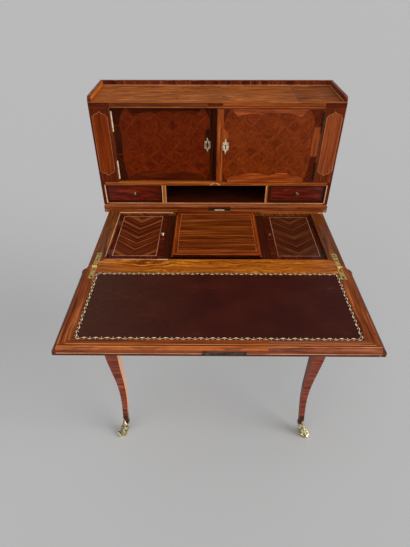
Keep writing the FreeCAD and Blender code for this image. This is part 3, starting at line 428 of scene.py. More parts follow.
# Tulipwood: gold and rose with flowing brown lines, the lightest of the desk's woods
TULIPWOOD = Veneer("French-polished tulipwood veneer", "#d28426", "#a4550a", "#602804", 5, 150, 12, 0.06, 0.9)
TULIP_BAND = Inlay("tulipwood banding", "#b0581a", "#903f08", "#5c2204", 4, 90, 3, streak=0.8)
DOOR_BAND = Inlay("red tulipwood banding", "#b65a20", "#963e0e", "#6a2605", 6, 90, 3)
GOLDEN_BAND = Inlay("golden tulipwood banding", "#cc7a30", "#aa5810", "#823c08", 4, 90, 3)
TOP_RAIL_DARK = Inlay("brown kingwood banding", "#8a4210", "#6a2c06", "#481a02", 4, 90, 3)
SLAB_WOOD = Veneer("layered kingwood edge", "#b46a38", "#863f14", "#4c1c06", 2.4, 130, 1.5, 0.08, 0.9)
CARTOUCHE_LEFT = Inlay("orange tulipwood, shaded", "#8e3a0a", "#782c04", "#5c1e02", 4, 140, 3, streak=0.4,
                       gloss=0.08)
CARTOUCHE_RIGHT = Inlay("orange tulipwood", "#a2501e", "#8e3e12", "#702a08", 4, 140, 3, streak=0.4)
# Amaranth: plain purple-brown, hardly striped
AMARANTH = Inlay("French-polished amaranth veneer", "#68250a", "#561a03", "#3c1001", 5, tone=0.1, gloss=0.08)
AMARANTH_ROSE = Inlay("rosy amaranth veneer", "#863c16", "#6c2808", "#501803", 5, tone=0.1, gloss=0.1)
PILASTER_GROUND = Inlay("red-brown kingwood ground", "#702a08", "#5e2004", "#421303", 5, tone=0.08,
                        gloss=0.08)
# Grey-brown painted shade on the left door's strips and corners, where its recess and the right door's edge shade
# it
RECESS_SHADE_BAND = Inlay("kingwood banding, painted recess shade", "#4c1e08", "#381204", "#280b02", 5, tone=0.06, gloss=0.04)
SHADED_BAND = Inlay("shaded kingwood banding", "#5c2006", "#4a1603", "#360e02", 6, 90, 3, gloss=0.05)
# Stringing: a thin line of holly, gone from white to amber under the polish
STRINGING = Inlay("holly stringing", "#f0c49c", "#d69a70", "#b27448", 2, tone=0.08)
# A bone-white line; on the front rail it is a painted glint
BONE_WHITE = Inlay("bone-white line", "#fff0dc", "#f0d8bc", "#c8a888", 2, tone=0.04)
PINK_STRING = Inlay("holly stringing, rosy", "#d8a088", "#c08468", "#986048", 2, tone=0.08)
DULL_STRING = Inlay("holly stringing under brown polish", "#b06a34", "#964e20", "#7a3a12", 2)
FAINT_STRING = Inlay("boxwood stringing gone brown", "#7a3a14", "#662808", "#521e04", 2, gloss=0.08)
AMBER_STRING = Inlay("amber holly stringing", "#d08a58", "#bc6e3c", "#985024", 2, tone=0.08)
# Rounded arrises are rubbed pale; on the flap's front arris the pale line is partly a painted highlight
RUBBED_AND_HIGHLIT = Veneer("rubbed arris", "#f0b896", "#d69068", "#a2603a", 3, 60, tone=0.1)
# Bleached by light, the cabinet's top is paler than the fronts, and its dry polish hardly shines
FADED = Veneer("sun-faded kingwood veneer", "#ba6c30", "#944b11", "#683008", 7, 60, 9, 0.1, 0.5, 0.5, 0.05)
FADED_DARK = Veneer("kingwood veneer, less faded", "#a05a26", "#7c3c0e", "#542404", 7, 60, 9, 0.1, 0.5, 0.5,
                    0.05)
# Kingwood cut across for borders drinks the polish and goes nearly black
DARK_KINGWOOD = Inlay("dark kingwood banding", "#4a1a06", "#381003", "#240700", 4)
WELL_BORDER = Inlay("cross-cut kingwood border", "#64200a", "#461003", "#280700", 5, 40)
# The lids' slanting stripes come from several flitches, so neighbours differ in tone and not in kind
CHEVRON_PALE = Inlay("kingwood chevron, pale", "#9c5828", "#7e3e12", "#541e06", 3, 90, 1.5, 0.18, 0.9)
CHEVRON_RED = Inlay("kingwood chevron, red", "#823a16", "#642206", "#3c0e02", 3, 90, 1.5, 0.18, 0.9)
CHEVRON_DARK = Inlay("kingwood chevron, dark", "#662a0e", "#4a1604", "#2c0a02", 3, 90, 1.5, 0.16, 0.9)
CHEVRON_BROWN = Inlay("kingwood chevron, brown", "#7e441e", "#60300f", "#401a06", 3, 90, 1.5, 0.16, 0.9)
CHEVRON_DUSK = Inlay("kingwood chevron, dusk", "#5c2a12", "#461d0a", "#2c0f04", 3, 90, 1.5, 0.16, 0.9)
STRAIGHT = Inlay("straight-grained kingwood veneer", "#aa5c1c", "#6e2c06", "#340e02", 4, 210, 3, 0.16, 0.9)
# Short pieces laid across the leg, whose dark stripes run level round it; faces that look to the right get painted
# light, and the foot of the leg painted shade
LEG_WOOD = LegVeneer("kingwood cross-banded on a leg", "#b25e42", "#843e2c", "#501c14", 7, 60, 2, streak=0.8,
                     gloss=0.1)
# The other legs take less of the painted light
SHADED_LEG_WOOD = replace(LEG_WOOD, name="kingwood cross-banded on a shaded leg", faded=0.12)
GALLERY_WOOD = Inlay("cross-cut kingwood gallery", "#9a4a18", "#6a260a", "#3c1004", 14, 60, 4)
# Oak and lining inside: a quiet grain under brown stain, waxed and not polished, so almost without gloss; the
# niche's floor and the lining are painted darker still, as shade
STAINED_OAK = Veneer("waxed oak, stained", "#4a2c1a", "#37200f", "#231207", 3, 60, rough=0.5, slot="oak")
FLOOR_WOOD = Veneer("stained oak board, painted shade", "#4c1e0a", "#3a1404", "#260a02", 4, 90, rough=0.5, gloss=0.1,
                    slot="oak")
SHADED_INSIDE = Veneer("lining, painted shade", "#2e1208", "#230a03", "#160501", 4, rough=0.5, slot="oak")
# Painted shadow on the sliding panel's front edge and the slope above it: near black, and dull
PANEL_NOSE_SHADOW = Veneer("sliding panel's edge, painted shadow", "#200a03", "#150501", "#0b0201", 4, rough=0.8,
                    gloss=0.02)
# The drawers' wood is figured, dark and red, as the niche shades it
DRAWER_WOOD = Veneer("figured kingwood veneer", "#7e280e", "#5c1404", "#380902", 7, 60, 8)
PANEL_BORDER = Inlay("rosy tulipwood banding", "#984410", "#7c2c06", "#521802", 5, 120)
# The flap's edge and borders, where sleeves have worn the polish thin and rosy
FLAP_EDGE = Veneer("kingwood moulding of the flap", "#743a1a", "#562610", "#341206", 4, 160)
FRONT_ROSY = Veneer("rosy tulipwood front border", "#a85e3c", "#824024", "#562010", 4, 190, 3, 0.04, 0.9)
NOSING_ROSY = Veneer("rosy tulipwood nosing", "#a85c40", "#864228", "#602814", 4, 170, streak=0.8)
NOSING = Veneer("tulipwood nosing", "#cc7234", "#ac561c", "#7c3809", 4, 170, streak=0.7)
# A pale line where the round starts: rubbed, and partly a painted highlight
NOSING_HIGHLIGHT_LINE = Veneer("rubbed light line on the nosing", "#d8945a", "#c47234", "#985018", 2, 120, gloss=0.1)
NOSING_LOW = Veneer("tulipwood nosing, lower half", "#984e24", "#7c3a16", "#58240c", 4, 170)
FLAP_FACE = Veneer("weathered edge of the flap", "#6c4030", "#563022", "#3c1e14", 4, 160)
FLAP_BORDER = Veneer("tulipwood border of the flap", "#b0602e", "#803c16", "#521e07", 6, 130, 5, 0.06, 0.8,
                     0.4, 0.12)
FRONT_BORDER = Veneer("tulipwood front border", "#b0581a", "#883a0a", "#581f03", 4, 190, 3, 0.04, 0.9)
# Calf under a glaze: a red that is nearly black, with soft highlights on its pebbles
CALF = Leather("glazed burgundy calf", "#330a03", "#3e1106", "#42261a", "#8a6250")
# Shell gold is powder in gum, so it shines less like a mirror than a solid metal
GILT = Metal("shell gold tooling", "#ffe8b8", "#7a4818", 0.5, 3, 0.62, 0.05, 0.35, slot="leather")
# Bronze gilt with mercury is pale gold where it is rubbed, and black in its hollows
GILT_BRONZE = Metal("mercury-gilt bronze, rubbed", "#fff0be", "#2a2010", 0.3, 7, 0.52, 0.07,
                    slot="gilt_bronze")
# Rolled and cast brass: yellow and smooth where it is rubbed, browner and rougher where it isn't
BRASS = Metal("aged polished brass", "#f4d080", "#7a5020", 0.35, 7, 0.56)
PALE_BRASS = Metal("worn silvered brass", "#fff0cc", "#8a6a42", 0.35, 3, 0.56, metallic=0.5)
# The left door's hinges, painted bright as lit from the right
LIT_HINGE_BRASS = Metal("brass hinge, painted lit", "#fff0d0", "#c49a68", 0.65, 6)
BRASS_LIP_GLINT = Metal("rubbed brass lip, painted glint", "#fff4dc", "#e8d0a0", 0.7, 5)
GREY_BRASS = Metal("greyed brass", "#c8b8a0", "#6a5c4c", 0.5, 5)
LIT_AND_SHADED_BRASS = LitAndShadedBrass("brass, rubbed and blackened", "#fff0d0", "#c49a68", 0.65, 6)
DARK_BRASS = Metal("blackened brass", "#6a5238", "#2a1c10", 0.4, 8, 0.5)
KNOB_BRASS = Metal("browned brass", "#9c8066", "#3a281c", 0.35, 4, 0.5)
GREEN_BRASS = Metal("olive brass", "#5a5236", "#26200f", 0.4, 4, 0.54)
VARNISHED_BRASS = Metal("brass under dark varnish", "#6a3420", "#3a1a10", 0.5, 6, metallic=0.3)
# Forged iron is grey-brown and dull
IRON = Metal("forged iron", "#6a625a", "#38312c", 0.5, 12, 0.5, slot="iron")
IRON_SHADOW = Metal("dark inside of a lock", "#0c0908", "#050404", 0.9, slot="iron")


# ---------------------------------------------------------------- laying veneer

class Side(Enum):
    """The side of a piece's box that a face is on, as (right, up) seen from outside."""

    TOP = (Vector((1, 0, 0)), Vector((0, 1, 0)))
    FRONT = (Vector((1, 0, 0)), Vector((0, 0, 1)))
    RIGHT = (Vector((0, 1, 0)), Vector((0, 0, 1)))
    LEFT = (Vector((0, -1, 0)), Vector((0, 0, 1)))
    UNDER = (Vector((-1, 0, 0)), Vector((0, 1, 0)))


@dataclass(frozen=True)
class Face:
    """A flat face that veneer is laid on, measured in mm from its lower left corner."""

    corner: Vector
    right: Vector
    up: Vector
    width: float
    height: float

    def at(self, u: float, v: float, lift: float = 0.0) -> Vector:
        """Give the place of a point on the face, or `lift` mm in front of it."""
        return self.corner + (self.right * u + self.up * v + self.right.cross(self.up) * lift) * MM

    def across(self, x: float) -> float:
        """Give the distance along the face of a place x mm from the desk's middle."""
        return x - self.corner.x / MM

    @classmethod
    def of(cls, node: str, side: Side) -> "Face":
        """Give the face on one side of a CAD node's box.

        Args:
            node: The node's name.
            side: The side of its box.

        Returns:
            The face.
        """
        low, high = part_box(node)
        right, up = side.value
        out = right.cross(up)
        corner = Vector([high[i] if (right + up)[i] < 0 or out[i] > 0 else low[i] for i in range(3)])
        span = high - low
        return cls(corner, right, up, abs(span.dot(right)) / MM, abs(span.dot(up)) / MM)


@dataclass(frozen=True)
class Leaf:
    """One cut piece of veneer or inlay; matched leaves share a flitch and mirror each other about a pivot."""

    outline: Outline
    finish: Finish
    grain: float = 0.0
    lift: float = 0.0
    pivot: float | None = None
    flitch: float | None = None


VENEER_MM = 0.25
# How far lines, frames and threads, and what covers them, stand above the ground, in mm
LINE_LIFT, FRAME_LIFT, THREAD_LIFT, TOP_LIFT = 0.03, 0.04, 0.05, 0.06


def signed_area(points: Outline) -> float:
    """Give an outline's area, positive if it runs anticlockwise."""
    return sum(a[0] * b[1] - b[0] * a[1] for a, b in zip(points, points[1:] + points[:1])) / 2


def new_object(name: str, bm: bmesh.types.BMesh, finishes: list[bpy.types.Material], body: str) -> bpy.types.Object:
    """Make a piece of a finished mesh.

    Args:
        name: The piece's name.
        bm: Its mesh, which is used up.
        finishes: Its materials, in the order of the mesh's material numbers.
        body: The CAD body that it moves with.

    Returns:
        The new object.
    """
    mesh = bpy.data.meshes.new(name)
    bm.to_mesh(mesh)
    bm.free()
    for finish in finishes:
        mesh.materials.append(finish)
    made = bpy.data.objects.new(name, mesh)
    bpy.context.scene.collection.objects.link(made)
    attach(made, body)
    LOG.info("%s rides on %s", name, body)
    return made


def lay(name: str, face: Face, leaves: list[Leaf], body: str = "carcase") -> bpy.types.Object:
    """Lay leaves on a face as one piece.

    Args:
        name: The piece's name.
        face: The face that it lies on.
        leaves: The leaves; one with a larger lift covers those below it.
        body: The CAD body that it moves with.

    Returns:
        The new object.
    """
    bm = bmesh.new()
    layer = bm.loops.layers.float_vector.new("grain")
    finishes: list[Finish] = []
    for leaf in leaves:
        outline = leaf.outline if signed_area(leaf.outline) > 0 else leaf.outline[::-1]
        if leaf.finish not in finishes:
            finishes.append(leaf.finish)
        top = [bm.verts.new(face.at(u, v, VENEER_MM + leaf.lift)) for u, v in outline]
        under = [bm.verts.new(face.at(u, v)) for u, v in outline]
        sides = [(under[i - 1], under[i], top[i], top[i - 1]) for i in range(len(outline))]
        turn = math.radians(leaf.grain)
        number = CHANCE.uniform(0, 99) if leaf.flitch is None else leaf.flitch
        for corners in [tuple(top), tuple(under[::-1])] + sides:
            polygon = bm.faces.new(corners)
            polygon.material_index = finishes.index(leaf.finish)
            for loop in polygon.loops:
                offset = loop.vert.co - face.corner
                u, v = offset.dot(face.right), offset.dot(face.up)
                if leaf.pivot is not None:
                    u = abs(u - leaf.pivot * MM)
                loop[layer] = (u * math.cos(turn) + v * math.sin(turn),
                               v * math.cos(turn) - u * math.sin(turn), number)
    return new_object(name, bm, [finish.material() for finish in finishes], body)


def rectangle(u0: float, v0: float, u1: float, v1: float) -> Outline:
    """Give a rectangle's corners, anticlockwise."""
    return (u0, v0), (u1, v0), (u1, v1), (u0, v1)


def inset(points: Outline, distance: float) -> Outline:
    """Draw an outline in by an even distance.

    Args:
        points: The outline, anticlockwise.
        distance: How far in, in mm; out if it is negative.

    Returns:
        The new outline, with as many corners.
    """
    sharpest = 0.35
    drawn = []
    count = len(points)
    for i in range(count):
        before, here, after = (Vector(points[(i + k) % count]) for k in (-1, 0, 1))
        one, two = (here - before).normalized(), (after - here).normalized()
        normal = Vector((-one.y - two.y, one.x + two.x))
        normal.normalize()
        stretch = distance / max(sharpest, normal.dot(Vector((-one.y, one.x))))
        drawn.append((here.x + normal.x * stretch, here.y + normal.y * stretch))
    return tuple(drawn)


def banding(outline: Outline, width: float, finish: Finish, lift: float = 0.0,
            crossed: bool = False) -> list[Leaf]:
    """Give the mitred leaves of a band just inside an outline.

    Args:
        outline: The band's outer edge, anticlockwise.
        width: The band's width in mm.
        finish: What it is made of.
        lift: Its lift over the face.
        crossed: Whether the grain runs across the band and not along it.

    Returns:
        One leaf per side.
    """
    return between(outline, inset(outline, width), finish, lift, crossed)


def between(outer: Outline, inner: Outline, finish: Finish, lift: float = 0.0,
            crossed: bool = False) -> list[Leaf]:
    """Give the mitred leaves between two outlines.

    Args:
        outer: The outer edge, anticlockwise.
        inner: The inner edge, with as many corners.
        finish: What the leaves are made of.
        lift: Their lift over the face.
        crossed: Whether the grain runs across the band and not along it.

    Returns:
        One leaf per side.
    """
    leaves = []
    for i in range(len(outer)):
        j = (i + 1) % len(outer)
        turn = math.degrees(math.atan2(outer[j][1] - outer[i][1], outer[j][0] - outer[i][0]))
        grain = turn + 90 if crossed else turn
        leaves.append(Leaf((outer[i], outer[j], inner[j], inner[i]), finish, grain, lift))
    return leaves


def line(points: list[Point], width: float, finish: Finish, lift: float = LINE_LIFT) -> list[Leaf]:
    """Give the leaves of an open inlaid line of even width.

    Args:
        points: The line's middle.
        width: Its width in mm.
        finish: What it is made of.
        lift: Its lift over the face.

    Returns:
        One leaf for each stretch between two points.
    """
    sides: list[tuple[Point, Point]] = []
    for i, here in enumerate(points):
        before, after = Vector(points[max(i - 1, 0)]), Vector(points[min(i + 1, len(points) - 1)])
        along = (after - before).normalized()
        half = width / 2
        sides.append(((here[0] - along.y * half, here[1] + along.x * half),
                      (here[0] + along.y * half, here[1] - along.x * half)))
    leaves = []
    for (a, b), (c, d) in zip(sides, sides[1:]):
        turn = math.degrees(math.atan2(c[1] - a[1], c[0] - a[0]))
        leaves.append(Leaf((a, b, d, c), finish, turn, lift))
    return leaves


def level(start: float, end: float, height: float, width: float, finish: Finish,
          lift: float = LINE_LIFT) -> list[Leaf]:
    """Give a line that runs across the face at a height."""
    return line([(start, height), (end, height)], width, finish, lift)


def upright(place: float, start: float, end: float, width: float, finish: Finish,
            lift: float = LINE_LIFT) -> list[Leaf]:
    """Give a line that runs up the face at a place."""
    return line([(place, start), (place, end)], width, finish, lift)


def clipped(points: Outline, window: Outline) -> Outline:
    """Cut an outline down to a window.

    Args:
        points: The outline.
        window: The window, convex and anticlockwise.

    Returns:
        The outline that is left, or none where only a sliver would be.
    """
    least_area = 0.2
    kept = list(points)
    for a, b in zip(window, window[1:] + window[:1]):
        source, kept = kept, []
        for p, q in zip(source, source[1:] + source[:1]):
            inside_p, inside_q = (
                (b[0] - a[0]) * (r[1] - a[1]) - (b[1] - a[1]) * (r[0] - a[0]) for r in (p, q))
            if inside_p >= 0:
                kept.append(p)
            if inside_p * inside_q < 0:
                share = inside_p / (inside_p - inside_q)
                kept.append((p[0] + (q[0] - p[0]) * share, p[1] + (q[1] - p[1]) * share))
    return tuple(kept) if len(kept) > 2 and abs(signed_area(tuple(kept))) > least_area else ()


def mirrored(leaves: list[Leaf], width: float) -> list[Leaf]:
    """Give the same leaves for the twin face on the other side."""
    return [replace(leaf, outline=tuple((width - u, v) for u, v in leaf.outline), grain=180 - leaf.grain)
            for leaf in leaves]


def arches(feet_and_crowns: Outline, steps: int = 8) -> list[Point]:
    """Draw a row of arches that meet in cusps.

    Args:
        feet_and_crowns: By turns a foot and a crown, with a foot at each end.
        steps: Points in each arch.

    Returns:
        The row's points, both ends included.
    """
    points = [feet_and_crowns[0]]
    for i in range(0, len(feet_and_crowns) - 2, 2):
        foot, crown, last = (Vector(p) for p in feet_and_crowns[i:i + 3])
        for k in range(1, steps + 1):
            t = k / steps
            spot = foot * ((1 - t) * (1 - 2 * t)) + crown * (4 * t * (1 - t)) + last * (t * (2 * t - 1))
            points.append((spot.x, spot.y))
    return points


def ogee(start: Point, end: Point, rise: float, steps: int = 7) -> list[Point]:
    """Give the points of a pointed double-curved arch.

    Args:
        start: Where the arch starts.
        end: Where it ends.
        rise: How far the point stands to the left of the straight line between them.
        steps: Points in each half.

    Returns:
        The arch's points, both ends included.
    """
    shoulder, knee, sharpness = 0.6, 0.62, 1.8
    a, b = Vector(start), Vector(end)
    left = Vector((a.y - b.y, b.x - a.x)).normalized()
    points = []
    for i in range(2 * steps + 1):
        t = i / (2 * steps)
        share = 1 - abs(2 * t - 1)
        height = shoulder * math.sin(math.pi / 2 * min(share / knee, 1.0))
        height += (1 - shoulder) * (max(share - knee, 0.0) / (1 - knee)) ** sharpness
        spot = a.lerp(b, t) + left * rise * height
        points.append((spot.x, spot.y))
    return points


def hollow(start: Point, end: Point, depth: float, steps: int = 6) -> list[Point]:
    """Give the points of a sagging arc.

    Args:
        start: Where the arc starts.
        end: Where it ends.
        depth: How far its middle sags to the right of the straight line between them, in mm.
        steps: Stretches in the arc.

    Returns:
        The arc's points, both ends included.
    """
    a, b = Vector(start), Vector(end)
    right = Vector((b.y - a.y, a.x - b.x)).normalized()
    points = [a.lerp(b, i / steps) + right * depth * math.sin(math.pi * i / steps) for i in range(steps + 1)]
    return [(p.x, p.y) for p in points]


def tube(name: str, paths: list[list[Vector]], radius: float, out: Vector, finish: Finish, body: str) -> None:
    """Sweep round strands that taper to both ends, as one piece.

    Args:
        name: The piece's name.
        paths: The strands' points, in metres.
        radius: A strand's radius in mm at its middle.
        out: A direction that no strand runs along.
        finish: What it is made of.
        body: The CAD body that it moves with.
    """
    corners, tip = 6, 0.4
    bm = bmesh.new()
    for path in paths:
        rings = []
        for i, here in enumerate(path):
            along = (path[min(i + 1, len(path) - 1)] - path[max(i - 1, 0)]).normalized()
            side = along.cross(out).normalized()
            up = side.cross(along)
            size = radius * MM * (tip + (1 - tip) * math.sin(math.pi * i / (len(path) - 1)))
            angles = [math.tau * k / corners for k in range(corners)]
            rings.append([bm.verts.new(here + (side * math.cos(a) + up * math.sin(a)) * size)
                          for a in angles])
        bm.faces.new(rings[0][::-1])
        bm.faces.new(rings[-1])
        for low, high in zip(rings, rings[1:]):
            for k in range(corners):
                bm.faces.new((low[k - 1], low[k], high[k], high[k - 1]))
    bmesh.ops.recalc_face_normals(bm, faces=bm.faces[:])
    for polygon in bm.faces:
        polygon.smooth = True
    new_object(name, bm, [finish.material(Grain.ALONG_Z)], body)


def dress(finish: Finish, grain: Grain, *nodes: str) -> None:
    """Give CAD nodes a finish.

    Args:
        finish: The finish.
        grain: Where its grain runs.
        nodes: The nodes' names.
    """
    for name in nodes:
        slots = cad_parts[name].data.materials
        slots.clear()
        slots.append(finish.material(grain))


def both(name: str) -> tuple[str, str]:
    """Give the names of a left and right pair."""
    return f"{name}_left", f"{name}_right"


# ---------------------------------------------------------------- the cabinet

@dataclass
class Cabinet:
    """The case that stands on the slab: top, gallery, rails, pilasters, sides and back."""

    gallery_mm: float = 7.0
    gallery_cuts: Point = (14.0, 38.0)
    gallery_nose: float = 9.0
    foot_band: float = 6.0
    seams: tuple[float, ...] = (228.0, 338.0, 528.0)
    slants: tuple[float, ...] = (1.5, -2.0, 2.0, -1.0)
    rail_end: float = 53.0
    red_middle: Point = (-23.0, 15.0)
    divider_mm: float = 12.0
    hinge_room: float = 3.2
    cartouche: Box = (5.0, 20.0, 45.5, 195.0)
    rise: float = 15.0
    side_frame: float = 15.0

    def build(self) -> None:
        """Dress the case and lay its veneers."""
        dress(FADED, Grain.ALONG_X, "cabinet_top")
        dress(GALLERY_WOOD, Grain.ALONG_Z, "gallery")
        dress(KINGWOOD, Grain.ALONG_Z, *both("cabinet_side"), *both("pilaster"))
        dress(TULIPWOOD, Grain.ALONG_X, "cabinet_shelf")
        dress(FLOOR_WOOD, Grain.ALONG_X, "cabinet_bottom")
        dress(SHADED_INSIDE, Grain.ALONG_X, "cabinet_back")
        dress(SHADED_INSIDE, Grain.ALONG_Z, "cabinet_dividers")
        self.lay_top()
        self.lay_gallery()
        self.lay_top_rail()
        self.lay_shelf_rail()
        self.lay_drawer_frame()
        self.lay_pilasters()
        self.lay_sides()

    def lay_top(self) -> None:
        """Four faded leaves side by side inside the gallery, a band at its rear foot, and light lines."""
        face = Face.of("cabinet_top", Side.TOP)
        low, high, back = self.gallery_mm, face.width - self.gallery_mm, face.height - self.gallery_mm
        front, foot = 0.6, back - self.foot_band
        edges = [low, *self.seams, high]
        woods = (FADED, FADED, FADED, FADED_DARK)
        leaves = [Leaf(rectangle(a, front, b, foot), wood, slant)
                  for a, b, wood, slant in zip(edges, edges[1:], woods, self.slants)]
        leaves.append(Leaf(rectangle(low, foot, high, back), FADED, 90))
        leaves += level(low, high, back - 1.3, 2.4, BONE_WHITE)
        leaves += upright(high - 0.9, 2.4, back - 2.6, 1.6, STRINGING)
        leaves += level(low, high, 1.6, 1.4, DULL_STRING)
        lay("top_veneer", face, leaves)

    def lay_gallery(self) -> None:
        """Cross-cut veneer inside the gallery: brighter wood on the left wall, as painted light from the right, and
        dark with orange patches behind.
        """
        low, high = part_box("gallery")
        wall, foot = self.gallery_mm, 0.2
        tall, deep = (high.z - low.z) / MM - 1.0, (high.y - low.y) / MM
        up = Vector((0, 0, 1))
        back = Face(Vector((low.x + wall * MM, high.y - wall * MM, low.z)), Vector((1, 0, 0)), up,
                    (high.x - low.x) / MM - 2 * wall, tall)
        cuts = [0.0]
        while cuts[-1] < back.width - self.gallery_cuts[1] - 2.0:
            cuts.append(cuts[-1] + CHANCE.uniform(*self.gallery_cuts))
        cuts.append(back.width)
        woods = (AMARANTH, GALLERY_WOOD, AMARANTH_ROSE)
        leaves = [Leaf(rectangle(a, foot, b, tall), CHANCE.choice(woods), 90)
                  for a, b in zip(cuts, cuts[1:])]
        lay("gallery_back_veneer", back, leaves)
        left = Face(Vector((low.x + wall * MM, low.y, low.z)), Vector((0, 1, 0)), up, deep, tall)
        right = Face(Vector((high.x - wall * MM, high.y, low.z)), Vector((0, -1, 0)), up, deep, tall)
        on_left = rectangle(self.gallery_nose, foot, deep - wall, tall)
        on_right = rectangle(wall, foot, deep - self.gallery_nose, tall)
        # The left wall faces the light and gets the brighter wood as painted light
        lay("gallery_left_painted_light", left, [Leaf(on_left, GOLDEN_BAND)])
        lay("gallery_right_veneer", right, [Leaf(on_right, GALLERY_WOOD)])

    def lay_top_rail(self) -> None:
        """The top's front edge: brown and red banding with dark ends, between two light lines, of which the upper
        one paints the arris's highlight.
        """
        face = Face.of("cabinet_top", Side.FRONT)
        wide, tall, margin = face.width, face.height, 0.4
        red = [wide / 2 + x for x in self.red_middle]
        edges = [0.3, self.rail_end, *red, wide - self.rail_end, wide - 0.3]
        woods = (AMARANTH, TOP_RAIL_DARK, AMARANTH_ROSE, TULIP_BAND, AMARANTH)
        leaves = [Leaf(rectangle(a, margin, b, tall - margin), wood)
                  for a, b, wood in zip(edges, edges[1:], woods)]
        # Painted highlight along the top arris
        leaves += level(0.5, wide - 0.5, tall - 1.2, 1.6, GOLDEN_BAND)
        leaves += level(0.5, wide - 0.5, 4.4, 1.2, DARK_KINGWOOD)
        leaves += level(self.rail_end, wide - self.rail_end, 2.2, 2.2, GOLDEN_BAND, FRAME_LIFT)
        lay("top_rail_veneer", face, leaves)

    def lay_shelf_rail(self) -> None:
        """The shelf's golden front edge, with a pale point where its two leaves meet."""
        face = Face.of("cabinet_shelf", Side.FRONT)
        wide, tall, margin = face.width, face.height, 0.3
        middle = wide / 2 - 2
        leaves = [Leaf(rectangle(margin, margin, wide - margin, tall - margin), TULIP_BAND)]
        leaves += level(margin, middle, tall - 1.3, 1.8, AMBER_STRING)
        leaves += level(middle, wide - margin, tall - 1.3, 1.8, GOLDEN_BAND)
        leaves += level(margin, wide - margin, 0.9, 1.2, DULL_STRING)
        foot, tip = 1.0, 8.4
        for sign in (-1, 1):
            leaves.append(Leaf(((middle, tip), (middle + sign * 10, foot), (middle + sign * 16, foot),
                                (middle + sign * 5, tip)), STRINGING, 90, THREAD_LIFT))
        lay("shelf_rail_veneer", face, leaves)

    def lay_drawer_frame(self) -> None:
        """Edges round the drawers: dividers, the rim under them and the sides, with light beads."""
        face = Face.of("cabinet_dividers", Side.FRONT)
        wide, tall, thick = face.width, face.height, self.divider_mm
        leaves = [Leaf(rectangle(u, 0, u + thick, tall), GOLDEN_BAND, 90) for u in (0, wide - thick)]
        for u in (1.6, thick - 1.2, wide - thick + 1.6):
            leaves += upright(u, 0.5, tall - 0.5, 2.0, STRINGING)
        leaves += upright(wide - 2.6, 0.5, tall - 0.5, 5.0, DARK_KINGWOOD)
        lay("divider_veneer", face, leaves)
        margin = 0.3
        face = Face.of("cabinet_bottom", Side.FRONT)
        leaves = [Leaf(rectangle(margin, 0.2, face.width - margin, face.height - 0.2), GOLDEN_BAND)]
        leaves += level(margin, face.width - margin, face.height - 1.3, 1.8, STRINGING)
        lay("drawer_rim_veneer", face, leaves)
        shelf_top = (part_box("cabinet_shelf")[1].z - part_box("cabinet_side_left")[0].z) / MM
        for name in both("cabinet_side"):
            face = Face.of(name, Side.FRONT)
            leaves = [Leaf(rectangle(margin, margin, face.width - margin, shelf_top), AMARANTH, 90)]
            inner = 2.2 if name.endswith("right") else face.width - 2.2
            leaves += upright(inner, 3.0, shelf_top - 8, 3.0, STRINGING)
            lay(f"{name}_edge_veneer", face, leaves)

    def lay_pilasters(self) -> None:
        """A tulipwood cartouche with pointed ends, strung with holly, on a red-brown ground."""
        u0, v0, u1, v1 = self.cartouche
        outline = tuple(ogee((u0, v0 + self.rise), (u1, v0 + self.rise), -self.rise)
                        + ogee((u1, v1 - self.rise), (u0, v1 - self.rise), -self.rise))
        string_mm, shadow_mm, margin = 1.0, 0.9, 0.4
        for name, wood, ground in zip(both("pilaster"), (CARTOUCHE_LEFT, CARTOUCHE_RIGHT),
                                      (PILASTER_GROUND, AMARANTH_ROSE)):
            face = Face.of(name, Side.FRONT)
            whole = rectangle(margin, margin, face.width - self.hinge_room, face.height - margin)
            leaves = [Leaf(whole, ground, 90), Leaf(outline, wood, 90, LINE_LIFT)]
            leaves += banding(outline, string_mm, AMBER_STRING, TOP_LIFT)
            leaves += banding(inset(outline, -shadow_mm), shadow_mm, DARK_KINGWOOD, TOP_LIFT)
            laid = leaves if name.endswith("left") else mirrored(leaves, face.width)
            lay(f"{name}_marquetry", face, laid)

    def lay_sides(self) -> None:
        """A quartered field in a crossbanded frame on each outer side."""
        for name, side in zip(both("cabinet_side"), (Side.LEFT, Side.RIGHT)):
            face = Face.of(name, side)
            lay(f"{name}_veneer", face, quartered(face, 0.6, self.side_frame))


def quartered(face: Face, margin: float, band: float) -> list[Leaf]:
    """Give a panel of four leaves whose grain meets in the middle, with stringing and a crossbanded frame.

    Args:
        face: The face that it fills.
        margin: What it leaves free all round, in mm.
        band: The frame's width in mm.

    Returns:
        Its leaves.
    """
    string_mm, first_flitch = 1.2, 20.0
    outer = rectangle(margin, margin, face.width - margin, face.height - margin)
    field_edge = inset(outer, band)
    (u0, v0), _, (u1, v1), _ = field_edge
    mid_u, mid_v = (u0 + u1) / 2, (v0 + v1) / 2
    turn = math.degrees(math.atan2(v1 - v0, u1 - u0))
    leaves = []
    for row, (low, high, slant) in enumerate(((v0, mid_v, turn), (mid_v, v1, -turn))):
        for a, b in ((u0, mid_u), (mid_u, u1)):
            leaves.append(Leaf(rectangle(a, low, b, high), KINGWOOD, slant, 0.0, mid_u, first_flitch + row))
    leaves += banding(outer, band, TULIP_BAND, 0.0, True)
    return leaves + banding(field_edge, string_mm, DULL_STRING, FRAME_LIFT)


# ---------------------------------------------------------------- doors and drawers

@dataclass(frozen=True)
class DoorWoods:
    """The woods of one door."""

    lozenges: tuple[Veneer, Veneer]
    bands: Finish
    strip: Finish
    corners: Finish
    thread: Finish


